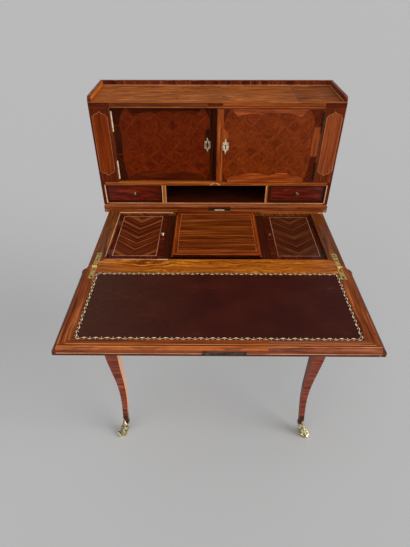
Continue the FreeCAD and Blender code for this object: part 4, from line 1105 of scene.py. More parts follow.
@dataclass
class Door:
    """One cabinet door: framed lozenges between scalloped bands.

    Sizes are the right door's, and the left one mirrors it.
    """

    hand: str
    woods: DoorWoods
    plate: Finish
    hinge: Finish
    half_lozenge: float = 22.0
    core: float = 14.5
    first_lozenge: Point = (3.0, 2.0)
    margin: float = 2.2
    strip: float = 18.0
    tongue: tuple[float, float, float] = (112.0, 131.0, 150.0)
    tongue_reach: float = 14.0
    thread_mm: float = 0.9
    edge_thread_mm: float = 1.0
    top_edge: Outline = ((53.5, 179.3), (88.0, 187.6), (112.5, 183.8), (134.5, 190.5), (157.5, 183.8),
                         (181.0, 187.6), (215.5, 178.8))
    bottom_edge: Outline = ((35.5, 17.3), (96.0, 28.5), (146.0, 21.5), (178.0, 31.0), (203.0, 24.6),
                            (224.0, 22.0), (241.5, 12.5))
    top_span: Point = (36.5, 232.5)
    bottom_span: Point = (26.0, 250.0)
    hinge_strip: tuple[float, float, float] = (252.5, 78.3, 154.3)
    corner_width: float = 17.0
    corner_drops: Point = (36.0, 30.0)
    keyhole_box: Box = (-3.2, -8.0, 3.2, 6.0)
    shadow_reach: Outline = ((4.6, 9.5), (3.0, 5.5))
    scroll_turn: Point = (-60.0, 300.0)
    scroll_curl: Point = (0.16, 0.22)
    scroll_eye: Point = (0.62, 0.30)
    scroll_reach: Point = (0.9, 0.75)
    stem_foot: float = 0.55
    stem_wave: float = 0.12

    def build(self) -> None:
        """Dress the door and lay its marquetry."""
        name = f"door_{self.hand}"
        dress(KINGWOOD, Grain.ALONG_X, name)
        dress(self.plate, Grain.ALONG_Z, f"escutcheon_{self.hand}")
        dress(self.hinge, Grain.ALONG_Z, f"door_hinge_leaves_{self.hand}")
        face = Face.of(name, Side.FRONT)
        leaves = self.field(face) + self.bands(face) + self.strips(face) + self.corners(face)
        if self.hand == "left":
            leaves = mirrored(leaves, face.width)
        leaves.append(self.keyhole(face))
        lay(f"{name}_marquetry", face, leaves, name)
        self.ornament()

    def field(self, face: Face) -> list[Leaf]:
        """Lozenges, each a core in four mitred strips, whose tones differ a little.

        Args:
            face: The door's front.

        Returns:
            Their leaves.
        """
        window = inset(rectangle(0, 0, face.width, face.height), self.margin)
        half = self.half_lozenge
        share = self.core / half
        leaves = []
        for row in range(int(face.height / half) + 2):
            for column in range(row % 2, int(face.width / half) + 2, 2):
                u, v = column * half + self.first_lozenge[0], row * half + self.first_lozenge[1]
                tips = ((u + half, v), (u, v + half), (u - half, v), (u, v - half))
                core = tuple((u + (p - u) * share, v + (q - v) * share) for p, q in tips)
                pieces = between(tips, core, self.woods.lozenges[1])
                pieces.append(Leaf(core, CHANCE.choice(self.woods.lozenges), 90 * (column % 2)))
                cuts = ((piece, clipped(piece.outline, window)) for piece in pieces)
                leaves += [replace(piece, outline=cut) for piece, cut in cuts if cut]
        return leaves

    def bands(self, face: Face) -> list[Leaf]:
        """The scalloped bands above and below, each with a thread along its edge.

        Args:
            face: The door's front.

        Returns:
            Their leaves.
        """
        leaves = []
        for edge, v, span in ((self.top_edge, face.height - self.margin, self.top_span),
                              (self.bottom_edge, self.margin, self.bottom_span)):
            drawn = [(span[0], v), *arches(edge), (span[1], v)]
            leaves.append(Leaf(tuple(drawn), self.woods.bands, 0, LINE_LIFT))
            leaves += line(drawn, self.thread_mm, self.woods.thread, THREAD_LIFT)
        return leaves

    def strips(self, face: Face) -> list[Leaf]:
        """The strip on the meeting side with its tongue, and the short bowed one by the hinges.

        Args:
            face: The door's front.

        Returns:
            Their leaves.
        """
        low, high = self.margin, face.height - self.margin
        below, tip, above = self.tongue
        crest, side, sag, bow_mm = (self.strip + self.tongue_reach, tip), 0.8, 4.0, 2.5
        tongue = hollow((self.strip, below), crest, sag) + hollow(crest, (self.strip, above), sag)
        edge = [(self.strip, low), *tongue, (self.strip, high)]
        leaves = [Leaf(((side, low), *edge, (side, high)), self.woods.strip, 90, LINE_LIFT)]
        leaves += line(edge, self.edge_thread_mm, self.woods.thread, THREAD_LIFT)
        u, start, end = self.hinge_strip
        outer = face.width - self.margin
        bow = hollow((u, end), (u, start), bow_mm)
        leaves.append(Leaf(((outer, start), (outer, end), *bow), self.woods.strip, 90, LINE_LIFT))
        return leaves + line(bow, self.edge_thread_mm, self.woods.thread, THREAD_LIFT)

    def corners(self, face: Face) -> list[Leaf]:
        """Corner pieces with a hollowed long side.

        Args:
            face: The door's front.

        Returns:
            Their leaves.
        """
        low, high = self.margin, face.height - self.margin
        outer = face.width - self.margin
        hinge = outer - self.corner_width
        _, start, end = self.hinge_strip
        above, below = self.corner_drops
        reaches = (((self.strip, high), (self.top_span[0] - 2, high), (self.strip, high - above), 3.0),
                   ((self.strip, low), (self.bottom_span[0] + 6, low), (self.strip, low + below), -3.0),
                   ((outer, high), (self.top_span[1] + 2, high), (hinge, end + 3), -4.0),
                   ((outer, low), (self.bottom_span[1] - 8, low), (hinge, start - 3), 4.0))
        leaves = []
        for corner, along, down, depth in reaches:
            curve = hollow(along, down, depth)
            foot = [(corner[0], down[1])] if down[0] != corner[0] else []
            leaves.append(Leaf((corner, *curve, *foot), self.woods.corners, 45, FRAME_LIFT))
            leaves += line(curve, self.thread_mm, self.woods.thread, TOP_LIFT)
        return leaves

    def keyhole(self, face: Face) -> Leaf:
        """The dark depth that shows through the escutcheon.

        Args:
            face: The door's front.

        Returns:
            Its leaf.
        """
        low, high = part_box(f"escutcheon_{self.hand}")
        middle = (low + high) / 2 - face.corner
        u, v = middle.dot(face.right) / MM, middle.dot(face.up) / MM
        u0, v0, u1, v1 = self.keyhole_box
        return Leaf(rectangle(u + u0, v + v0, u + u1, v + v1), IRON_SHADOW, 0, 0.3)

    def ornament(self) -> None:
        """Cast scrolls round the escutcheon's rim, and on the left door a dark ring inside it."""
        low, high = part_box(f"escutcheon_{self.hand}")
        middle = Vector(((low.x + high.x) / 2, low.y + 0.2 * MM, (low.z + high.z) / 2))
        wide, tall = (high.x - low.x) / 2, (high.z - low.z) / 2
        steps, wave_steps, strand_mm = 12, 6, 0.9
        (eye_u, eye_v), (reach_u, reach_v) = self.scroll_eye, self.scroll_reach
        strands = []
        for sign_u, sign_v in ((-1, -1), (-1, 1), (1, -1), (1, 1)):
            strand = []
            for k in range(steps + 1):
                turn = math.radians(self.scroll_turn[0] + self.scroll_turn[1] * k / steps)
                curl = self.scroll_curl[0] + self.scroll_curl[1] * k / steps
                strand.append(middle + Vector((sign_u * wide * (eye_u + curl * reach_u * math.cos(turn)), 0,
                                               sign_v * tall * (eye_v + curl * reach_v * math.sin(turn)))))
            strands.append(strand)
        foot = self.stem_foot
        shares = [k / wave_steps for k in range(wave_steps + 1)]
        for sign_v in (-1, 1):
            wave = [(wide * self.stem_wave * math.sin(6 * t), sign_v * tall * (foot + (1 - foot) * t))
                    for t in shares]
            strands.append([middle + Vector((u, 0, v)) for u, v in wave])
        body = f"door_{self.hand}"
        tube(f"escutcheon_scrolls_{self.hand}", strands, strand_mm, Vector((0, -1, 0)), PALE_BRASS, body)
        if self.hand == "left":
            face = Face.of("escutcheon_left", Side.FRONT)
            u, v = face.width / 2, face.height / 2
            rim, throat = (((u + a, v), (u, v + b), (u - a, v), (u, v - b))
                           for a, b in self.shadow_reach)
            lay("escutcheon_shadow_left", face, between(rim, throat, DARK_BRASS), body)


@dataclass
class Drawer:
    """One small drawer: a framed front, an oak tray and a turned knob."""

    hand: str
    margin: float = 0.4
    band: float = 5.0
    string_mm: float = 0.9

    def build(self) -> None:
        """Dress the drawer and lay its front."""
        dress(DRAWER_WOOD, Grain.ALONG_X, f"drawer_front_{self.hand}")
        dress(STAINED_OAK, Grain.ALONG_Y, f"drawer_tray_{self.hand}")
        dress(KNOB_BRASS, Grain.ALONG_Z, f"drawer_knob_{self.hand}")
        face = Face.of(f"drawer_front_{self.hand}", Side.FRONT)
        outer = inset(rectangle(0, 0, face.width, face.height), self.margin)
        inner = inset(outer, self.band)
        leaves = [Leaf(inner, DRAWER_WOOD), *banding(outer, self.band, DARK_KINGWOOD)]
        leaves += banding(inner, self.string_mm, FAINT_STRING, LINE_LIFT)
        lay(f"drawer_front_veneer_{self.hand}", face, leaves, f"drawer_{self.hand}")


# ---------------------------------------------------------------- the case, wells and flap

@dataclass
class Case:
    """The body under the top: aprons, slab, rails and the wells between them.

    Where a size is a place from left to right, it is in mm from the desk's middle.
    """

    front_clear: float = 30.0
    side_clear: float = 14.0
    panel_low: float = 32.0
    panel_high: float = 99.0
    panel_frame: float = 6.0
    groove: Point = (9.8, 12.7)
    top_bead: float = 3.3
    margin: float = 0.4
    plate_gap: float = 0.3
    red_from: float = -112.0
    posts: Point = (4.0, 7.5)
    strike_lip_glint: Box = (-2.0, 0.6, 26.0, 3.4)
    side_highlight: tuple[float, float, float] = (-279.3, 42.0, 256.0)
    front_highlight: tuple[float, float, float, float] = (-276.0, -122.0, 150.0, 276.0)
    line_mm: float = 1.8
    glint_slip: Point = (24.0, 2.4)
    ledge: float = 7.0
    ledge_strip: Point = (1.6, 6.0)

    def build(self) -> None:
        """Dress the case and lay its veneers."""
        dress(TULIPWOOD, Grain.ALONG_X, "front_rail")
        dress(SLAB_WOOD, Grain.ALONG_X, "slab")
        dress(RAIL_WOOD, Grain.ALONG_Y, *both("side_rail"))
        dress(KINGWOOD, Grain.ALONG_Y, *both("apron"))
        dress(KINGWOOD, Grain.ALONG_X, "apron_front")
        dress(STAINED_OAK, Grain.ALONG_X, "apron_back", "well_floor")
        dress(DARK_KINGWOOD, Grain.ALONG_Y, *both("partition"))
        dress(SHADED_INSIDE, Grain.ALONG_Y, "well_walls")
        dress(STAINED_OAK, Grain.ALONG_Y, *both("loper"))
        self.lay_slab()
        self.lay_rail_highlights()
        self.lay_ledge()
        self.lay_apron("apron_front", Side.FRONT, self.front_clear)
        self.lay_apron("apron_left", Side.LEFT, self.side_clear)
        self.lay_apron("apron_right", Side.RIGHT, self.side_clear)

    def lay_slab(self) -> None:
        """Veneer on the two steps of the slab's front edge, redder to the left of the strike plate."""
        face, strike = Face.of("slab", Side.FRONT), Face.of("lock_strike", Side.FRONT)
        start = face.across(strike.corner.x / MM)
        plate = (start - self.plate_gap, start + strike.width + self.plate_gap)
        red = face.across(self.red_from)
        near, far = self.margin, face.width - self.margin
        low, high, top = *self.groove, face.height - self.top_bead
        leaves = []
        for a, b in ((near, plate[0]), (plate[1], far)):
            leaves.append(Leaf(rectangle(a, high, b, top), SLAB_WOOD))
            leaves += level(a, b, high + 0.8, 1.2, DARK_KINGWOOD)
            leaves += level(a, b, top - 0.9, 1.5, DULL_STRING)
        lower = ((near, red, SLAB_WOOD), (red, plate[0], AMARANTH_ROSE), (plate[1], far, SLAB_WOOD))
        for a, b, wood in lower:
            leaves.append(Leaf(rectangle(a, self.margin, b, low), wood))
        for u in (*self.posts, *(face.width - post for post in self.posts[::-1])):
            leaves += upright(u, 0.6, low, 1.0, STRINGING)
        lay("slab_edge_veneer", face, leaves)
        # A lip of rubbed brass under the strike's slot, painted bright as its glint
        x0, v0, x1, v1 = self.strike_lip_glint
        lip = rectangle(strike.across(x0), v0, strike.across(x1), v1)
        lay("strike_lip_glint", strike, [Leaf(lip, BRASS_LIP_GLINT, 0, 0.3)])

    def lay_rail_highlights(self) -> None:
        """A painted highlight on the left rail's inner edge, and on the front rail's back edge pale lines that are
        partly painted highlight, with a painted glint by the left partition; all are sunk so that they hardly stand
        proud.
        """
        sunk, glint_sunk = -0.15, -0.12
        rail = Face.of("side_rail_left", Side.TOP)
        x, start, end = self.side_highlight
        lay("left_rail_highlight", rail, upright(rail.across(x), start, end, self.line_mm, STRINGING, sunk))
        front = Face.of("front_rail", Side.TOP)
        back = front.height - 1.2
        ends = [front.across(x) for x in self.front_highlight]
        leaves = []
        for a, b, wood in zip(ends, ends[1:], (STRINGING, GOLDEN_BAND, DULL_STRING)):
            leaves += level(a, b, back, self.line_mm, wood, sunk)
        # The painted glint by the left partition
        length, width = self.glint_slip
        leaves += level(ends[1] - length, ends[1], back, width, BONE_WHITE, glint_sunk)
        lay("front_rail_highlight", front, leaves)

    def lay_ledge(self) -> None:
        """A light strip on the ledge in front of the slab, over both lids, partly pale wood and partly a painted
        highlight.
        """
        low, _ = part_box("slab")
        corner = Vector((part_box("side_rail_left")[0].x, low.y - self.ledge * MM, low.z))
        face = Face(corner, Vector((1, 0, 0)), Vector((0, 1, 0)), -2 * corner.x / MM, self.ledge)
        v0, v1 = self.ledge_strip
        stretches = ((-281, -124, STRINGING), (137, 300, DULL_STRING), (300, 312, STRINGING))
        leaves = [Leaf(rectangle(face.across(x0), v0, face.across(x1), v1), wood, 0, -0.1)
                  for x0, x1, wood in stretches]
        lay("ledge_strip", face, leaves)

    def lay_apron(self, node: str, side: Side, clear: float) -> None:
        """Lay a strung panel in the middle of an apron.

        Args:
            node: The apron's name.
            side: Its outer side.
            clear: What the panel leaves free at both ends, in mm.
        """
        face = Face.of(node, side)
        outer = rectangle(clear, self.panel_low, face.width - clear, self.panel_high)
        inner = inset(outer, self.panel_frame)
        leaves = [Leaf(inner, LOZENGES_RIGHT[0]), *banding(outer, self.panel_frame, AMARANTH)]
        lay(f"{node}_veneer", face, leaves + banding(inner, 1.2, DULL_STRING, LINE_LIFT))


@dataclass
class Lid:
    """One side well's lid: book-matched chevrons in a strung frame."""

    hand: str
    string_box: Box
    centre: float
    seed: int
    woods: tuple[Veneer, ...]
    knob: Finish
    string: Finish
    hinge: Finish
    hinge_edge: float = 12.6
    margin: float = 0.5
    string_out: float = 1.2
    string_mm: float = 1.1
    stripe_widths: Point = (4.0, 16.0)
    reach: float = 160.0
    slope: float = 40.0

    def build(self) -> None:
        """Dress the lid and lay its chevrons."""
        name = f"lid_{self.hand}"
        dress(WELL_BORDER, Grain.ALONG_Y, name)
        dress(self.knob, Grain.ALONG_Z, f"lid_knob_{self.hand}")
        dress(self.hinge, Grain.ALONG_Y, f"lid_hinge_leaves_{self.hand}")
        face = Face.of(name, Side.TOP)
        u0, v0, u1, v1 = self.string_box
        leaves = self.stripes(rectangle(u0, v0, self.centre, v1), -1)
        leaves += self.stripes(rectangle(self.centre, v0, u1, v1), 1)
        edge = inset(rectangle(*self.string_box), -self.string_out)
        leaves += banding(edge, self.string_mm, self.string, FRAME_LIFT)
        near, far = self.margin, face.width - self.margin
        if self.hand == "left":
            near = self.hinge_edge
        else:
            far = face.width - self.hinge_edge
        outer = rectangle(near, self.margin, far, face.height - self.margin)
        leaves += between(outer, edge, WELL_BORDER, 0.0, True)
        lay(f"{name}_marquetry", face, leaves, name)

    def stripes(self, half: Outline, sign: int) -> list[Leaf]:
        """Slanting stripes on one side of the middle line; both sides share the same breaks and flitches.

        Args:
            half: The outline of that side.
            sign: -1 for the left side and 1 for the right.

        Returns:
            Their leaves.
        """
        widths = random.Random(self.seed)
        breaks = [-self.reach]
        while breaks[-1] < self.string_box[3]:
            breaks.append(breaks[-1] + widths.uniform(*self.stripe_widths))
        rise = self.reach * math.tan(math.radians(self.slope))
        far = self.centre + sign * self.reach
        leaves = []
        for i, (a, b) in enumerate(zip(breaks, breaks[1:])):
            outline = ((self.centre, a), (far, a + rise), (far, b + rise), (self.centre, b))
            cut = clipped(outline if sign > 0 else outline[::-1], half)
            if cut:
                wood = self.woods[i % len(self.woods)]
                leaves.append(Leaf(cut, wood, self.slope, 0.0, self.centre, float(i)))
        return leaves


@dataclass
class SlidingPanel:
    """The middle panel: straight-grained strips inside a strung tulipwood border."""

    string_box: Box = (15.7, 22.0, 216.7, 206.0)
    string_out: float = 1.3
    string_mm: float = 1.1
    bevel: float = 3.3
    tongue: float = 5.8
    strips: tuple[float, ...] = (48.0, 75.0, 96.0, 123.0, 149.0, 178.0)

    def build(self) -> None:
        """Dress the panel and lay its top."""
        dress(PANEL_BORDER, Grain.ALONG_X, "sliding_panel")
        whole = Face.of("sliding_panel", Side.TOP)
        wide, tall, bevel = whole.width - 2 * self.tongue, whole.height, self.bevel
        face = Face(whole.at(self.tongue, 0), whole.right, whole.up, wide, tall)
        u0, v0, u1, v1 = self.string_box
        edges = (v0, *self.strips, v1)
        leaves = [Leaf(rectangle(u0, a, u1, b), STRAIGHT) for a, b in zip(edges, edges[1:])]
        edge = inset(rectangle(*self.string_box), -self.string_out)
        leaves += banding(edge, self.string_mm, AMBER_STRING, FRAME_LIFT)
        leaves += between(rectangle(bevel, bevel, wide - bevel, tall - bevel), edge, PANEL_BORDER)
        leaves += upright(bevel + 1, tall - 30, bevel, 1.6, GOLDEN_BAND)
        leaves += level(bevel, wide - bevel, bevel + 1, 1.6, GOLDEN_BAND)
        leaves += upright(wide - 5, bevel, tall - 8, 1.4, GOLDEN_BAND)
        lay("sliding_panel_marquetry", face, leaves, "panel")
        self.lay_nose(wide)

    def lay_nose(self, wide: float) -> None:
        """Lay painted shadow on the front edge and the slope above it.

        Args:
            wide: The panel's width between its tongues, in mm.
        """
        bevel = self.bevel
        front = Face.of("sliding_panel", Side.FRONT)
        margin = 0.3
        nose = rectangle(self.tongue + margin, margin, front.width - self.tongue - margin,
                         front.height - bevel - 0.2)
        lay("sliding_panel_nose_shadow", front, [Leaf(nose, PANEL_NOSE_SHADOW)], "panel")
        arris = Face(front.at(self.tongue, front.height - bevel), front.right, Vector((0, 1, 1)).normalized(),
                     wide, bevel * math.sqrt(2))
        slope = rectangle(bevel, 0.2, arris.width - bevel, arris.height - 0.1)
        lay("sliding_panel_arris_shadow", arris, [Leaf(slope, PANEL_NOSE_SHADOW)], "panel")


@dataclass
class Flap:
    """The writing flap: mitred borders, a moulded edge and a tooled leather panel."""

    side: float = 38.8
    front: float = 26.5
    rear: float = 24.5
    rear_gap: float = 1.0
    round_mm: float = 10.0
    proud_mm: float = 0.08
    nosing_turns: tuple[float, ...] = (3.0, 16.0, 52.0, 90.0)
    seam: float = 96.0
    seam_slant: float = 6.0
    hinge: float = 29.8
    hinge_half: float = 6.3
    hinge_flare: float = 8.3
    hinge_end: float = 47.6
    flare_start: float = 28.0
    ear: Point = (12.8, 21.0)
    face_span: Point = (4.4, 11.6)
    chips: tuple[tuple[float, float, float], ...] = (
        (276.0, 10.6, 2.2), (314.0, 6.4, 2.0), (296.0, 11.0, 1.2))
    fillet_inset: float = 3.2
    pitch: float = 11.6
    wave: float = 3.5
    link_mm: Point = (1.7, 2.3)
    dot_mm: float = 1.15
    outside_margin: float = 15.0
    outside_frame: float = 38.0

    def build(self) -> None:
        """Dress the flap, lay its borders and tool its leather."""
        dress(FLAP_EDGE, Grain.ALONG_X, "flap_board")
        dress(CALF, Grain.ALONG_X, "leather_panel")
        dress(IRON, Grain.ALONG_X, "flap_lock")
        dress(GREEN_BRASS, Grain.ALONG_X, "lock_strike")
        dress(BRASS, Grain.ALONG_Y, "flap_hinge_case_leaves", "flap_hinge_flap_leaves")
        self.lay_borders()
        self.lay_nosing()
        self.lay_front()
        self.tool_leather()
        self.lay_outside()

    def lay_borders(self) -> None:
        """Four mitred borders; the side ones go round the hinges, and the front one has a light line."""
        face = Face.of("flap_board", Side.TOP)
        width, height, edge = face.width, face.height, self.round_mm
        back = height - self.rear_gap
        inner = rectangle(self.side, self.front, width - self.side, height - self.rear)
        outer = rectangle(edge, edge, width - edge, back)
        clear = self.hinge + self.hinge_half
        rear = ((clear, back), (clear, inner[3][1]), (width - clear, inner[2][1]), (width - clear, back))
        seam = face.across(self.seam)
        meeting = (seam + self.seam_slant, self.front)
        leaves = [Leaf(rear, TULIPWOOD),
                  Leaf((outer[0], (seam, edge), meeting, inner[0]), FRONT_BORDER),
                  Leaf(((seam, edge), outer[1], inner[1], meeting), FRONT_ROSY)]
        hinge, half, flare, end = self.hinge, self.hinge_half, self.hinge_flare, height - self.hinge_end
        ear, ear_start = self.ear
        left = (outer[0], inner[0], inner[3], (hinge + half + 0.2, inner[3][1]), (hinge + flare, end),
                (hinge - flare, end), (hinge - half, height - self.flare_start), (hinge - half, back),
                (ear, back), (edge, height - ear_start))
        side = Leaf(left, FLAP_BORDER, 90)
        leaves += [side, *mirrored([side], width)]
        leaves += level(26.0, width - 20.0, 13.6, 2.2, NOSING_HIGHLIGHT_LINE)
        leaves += level(22.0, width - 22.0, 11.2, 1.6, DARK_KINGWOOD)
        lay("flap_border_veneer", face, leaves, "flap")

    def lay_nosing(self) -> None:
        """Bands that follow the front edge's round: a light line that is partly a painted highlight, and two of
        tulipwood, in two lengths.
        """
        low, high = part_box("flap_board")
        radius, steps = self.round_mm * MM, 6
        axis_y, axis_z = low.y + radius, high.z - radius
        end, seam = high.x - radius, self.seam * MM
        lengths = ((-end, seam, (NOSING_HIGHLIGHT_LINE, NOSING, NOSING_LOW)),
                   (seam, end, (NOSING_HIGHLIGHT_LINE, NOSING_ROSY, NOSING_LOW)))
        bands = [(x0, x1, first, last, wood) for x0, x1, woods in lengths
                 for first, last, wood in zip(self.nosing_turns, self.nosing_turns[1:], woods)]
        finishes = list(dict.fromkeys(wood for *_, wood in bands))
        bm = bmesh.new()
        layer = bm.loops.layers.float_vector.new("grain")
        for number, (x0, x1, first, last, wood) in enumerate(bands):
            turns = [math.radians(first + (last - first) * k / steps) for k in range(steps + 1)]
            outer, inner = (
                [[bm.verts.new((x, axis_y - size * math.sin(turn), axis_z + size * math.cos(turn)))
                  for x in (x0, x1)] for turn in turns]
                for size in (radius + self.proud_mm * MM, radius))
            order = outer + inner[::-1]
            polygons = [bm.faces.new((one[0], two[0], two[1], one[1]))
                        for one, two in zip(order, order[1:] + order[:1])]
            polygons += [bm.faces.new([pair[side] for pair in order]) for side in (0, 1)]
            for polygon in polygons:
                polygon.material_index = finishes.index(wood)
                for loop in polygon.loops:
                    loop[layer] = (loop.vert.co.x, loop.vert.co.z - loop.vert.co.y, number)
        bmesh.ops.recalc_face_normals(bm, faces=bm.faces[:])
        new_object("flap_nosing", bm, [wood.material() for wood in finishes], "flap")

    def lay_front(self) -> None:
        """Below the round, a rubbed arris that is partly a painted highlight, and a weathered face, cut out for the
        lock plate.
        """
        face, lock = Face.of("flap_board", Side.FRONT), Face.of("flap_lock", Side.FRONT)
        sunk, gap, corners, flatness = self.proud_mm - VENEER_MM, 0.3, 6, 0.45
        start = face.across(lock.corner.x / MM)
        low, high = self.face_span
        leaves = []
        for a, b in ((self.round_mm, start - gap), (start + lock.width + gap, face.width - self.round_mm)):
            leaves.append(Leaf(rectangle(a, low, b, high), FLAP_FACE, 0, sunk))
            # The rubbed arris, painted paler as its highlight
            leaves += level(a, b, high - 1, 2.0, RUBBED_AND_HIGHLIT, sunk + LINE_LIFT)
            leaves += level(a, b, low + 4, 1.4, AMARANTH, sunk + LINE_LIFT)
        for x, v, size in self.chips:
            chip = tuple((face.across(x) + size * CHANCE.uniform(0.7, 1.4) * math.cos(math.tau * t / corners),
                          v + flatness * size * CHANCE.uniform(0.7, 1.2) * math.sin(math.tau * t / corners))
                         for t in range(corners))
            leaves.append(Leaf(chip, RUBBED_AND_HIGHLIT, 0, sunk + THREAD_LIFT))
        lay("flap_front_veneer", face, leaves, "flap")

    def tool_leather(self) -> None:
        """A gilt chain stamped round the leather."""
        face = Face.of("leather_panel", Side.TOP)
        outline = inset(rectangle(0, 0, face.width, face.height), self.fillet_inset)
        leaves = []
        for a, b in zip(outline, outline[1:] + outline[:1]):
            leaves += self.chain(Vector(a), Vector(b))
        lay("leather_tooling", face, leaves, "flap")

    def chain(self, start: Vector, end: Vector) -> list[Leaf]:
        """Crescents along one side, by turns over and under its line, with a dot in each hollow.

        Args:
            start: Where the side starts.
            end: Where it ends.

        Returns:
            Their leaves.
        """
        span = end - start
        along = span.normalized()
        over = Vector((-along.y, along.x))
        links = round(span.length / self.pitch)
        pitch = span.length / links
        steps, sunk, corners, overlap, dip, dot_off = 8, -0.16, 6, 0.04, 0.6, 2.0
        shares = [i / steps for i in range(steps + 1)]
        leaves = []
        for k in range(links):
            way, thickness = (1, self.link_mm[1]) if k % 2 else (-1, self.link_mm[0])
            arcs = []
            for swing in (self.wave, self.wave - thickness):
                spots = [start + along * pitch * (k + t * (1 + 2 * overlap) - overlap)
                         + over * way * (swing * math.sin(math.pi * t) - dip) for t in shares]
                arcs.append([(spot.x, spot.y) for spot in spots])
            leaves.append(Leaf((*arcs[0], *arcs[1][-2:0:-1]), GILT, 0, sunk))
            spot = start + along * pitch * (k + 0.5) - over * way * dot_off
            dot = tuple((spot.x + self.dot_mm * math.cos(math.tau * t / corners),
                         spot.y + self.dot_mm * math.sin(math.tau * t / corners)) for t in range(corners))
            leaves.append(Leaf(dot, GILT, 0, sunk + 0.02))
        return leaves

    def lay_outside(self) -> None:
        """The quartered face that is the desk's top when the flap is shut."""
        face = Face.of("flap_board", Side.UNDER)
        lay("flap_outside_veneer", face, quartered(face, self.outside_margin, self.outside_frame), "flap")


# ---------------------------------------------------------------- stand, fittings and screws

def support(node: str, height: float, out: Vector) -> Vector:
    """Give the point of a node's outline at a height that lies furthest in a direction.

    Args:
        node: The CAD node.
        height: The height in metres.
        out: The direction, level and of length 1.

    Returns:
        The point, in metres.
    """
    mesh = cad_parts[node].data
    spots = []
    for edge in mesh.edges:
        a, b = (mesh.vertices[i].co for i in edge.vertices)
        if (a.z - height) * (b.z - height) <= 0 and a.z != b.z:
            spots.append(a.lerp(b, (height - a.z) / (b.z - a.z)))
    return max(spots, key=lambda spot: spot.dot(out))


@dataclass
class Stand:
    """Legs and bronze shoes with cast ribs and a leaf up the outer corner."""

    rib_levels: Point = (7.0, 53.0)
    rib_turns: tuple[float, ...] = (-62.0, -30.0, 0.0, 30.0, 62.0)
    rib_mm: float = 1.3
    rib_sunk: float = 0.5
    leaf_levels: Point = (44.0, 79.0)
    leaf_half: float = 8.5
    leaf_tip: float = 0.3
    leaf_mm: float = 1.2
    leaf_fold: float = 135.0
    steps: int = 12
    leaf_steps: int = 8

    def build(self) -> None:
        """Dress the legs and shoes and cast their ornament."""
        dress(LEG_WOOD, Grain.LEVEL, "leg_front_left")
        dress(SHADED_LEG_WOOD, Grain.LEVEL, "leg_front_right", *both("leg_back"))
        dress(GILT_BRONZE, Grain.ALONG_Z, *both("sabot_front"), *both("sabot_back"))
        for row, sign_y in (("front", -1), ("back", 1)):
            for hand, sign_x in (("left", -1), ("right", 1)):
                out = Vector((sign_x, sign_y, 0)).normalized()
                self.ribs(f"{row}_{hand}", out)
                self.leaf(f"{row}_{hand}", out)

    def ribs(self, place: str, out: Vector) -> None:
        """Raise ribs that run from the shoe's toe to its rim.

        Args:
            place: The leg's row and hand.
            out: The way that its outer corner looks.
        """
        low, high = self.rib_levels
        levels = [(low + (high - low) * k / self.steps) * MM for k in range(self.steps + 1)]
        strands = []
        for turn in self.rib_turns:
            way = Matrix.Rotation(math.radians(turn), 3, "Z") @ out
            strands.append([support(f"sabot_{place}", height, way) - way * self.rib_sunk * MM
                            for height in levels])
        tube(f"shoe_ribs_{place}", strands, self.rib_mm, out, GILT_BRONZE, "carcase")

    def leaf(self, place: str, out: Vector) -> None:
        """Fold a pointed leaf over the leg's outer corner.

        Args:
            place: The leg's row and hand.
            out: The way that its outer corner looks.
        """
        low, high = self.leaf_levels
        wings = [Matrix.Rotation(math.radians(turn), 3, "Z") @ out
                 for turn in (-self.leaf_fold, self.leaf_fold)]
        shoe_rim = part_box(f"sabot_{place}")[1].z
        taper, lobe_depth, lobes = 0.7, 0.25, 5
        bm = bmesh.new()
        rows = []
        for k in range(self.leaf_steps + 1):
            t = k / self.leaf_steps
            height = (low + (high - low) * t) * MM
            node = f"sabot_{place}" if height < shoe_rim else f"leg_{place}"
            spine = support(node, height, out) + out * self.leaf_mm * MM
            lobed = 1 + lobe_depth * math.sin(lobes * math.pi * t)
            width = self.leaf_half * (1 - t) ** taper * lobed + self.leaf_tip
            outer = [spine + wings[0] * width * MM, spine, spine + wings[1] * width * MM]
            inner = [point - out * self.leaf_mm * MM for point in outer[::-1]]
            rows.append([bm.verts.new(point) for point in outer + inner])
        for one, two in zip(rows, rows[1:]):
            for i in range(len(one)):
                bm.faces.new((one[i - 1], one[i], two[i], two[i - 1]))
        bm.faces.new(rows[0])
        bm.faces.new(rows[-1][::-1])
        bmesh.ops.recalc_face_normals(bm, faces=bm.faces[:])
        bronze = GILT_BRONZE.material(Grain.ALONG_Z)
        new_object(f"shoe_leaf_{place}", bm, [bronze], "carcase")


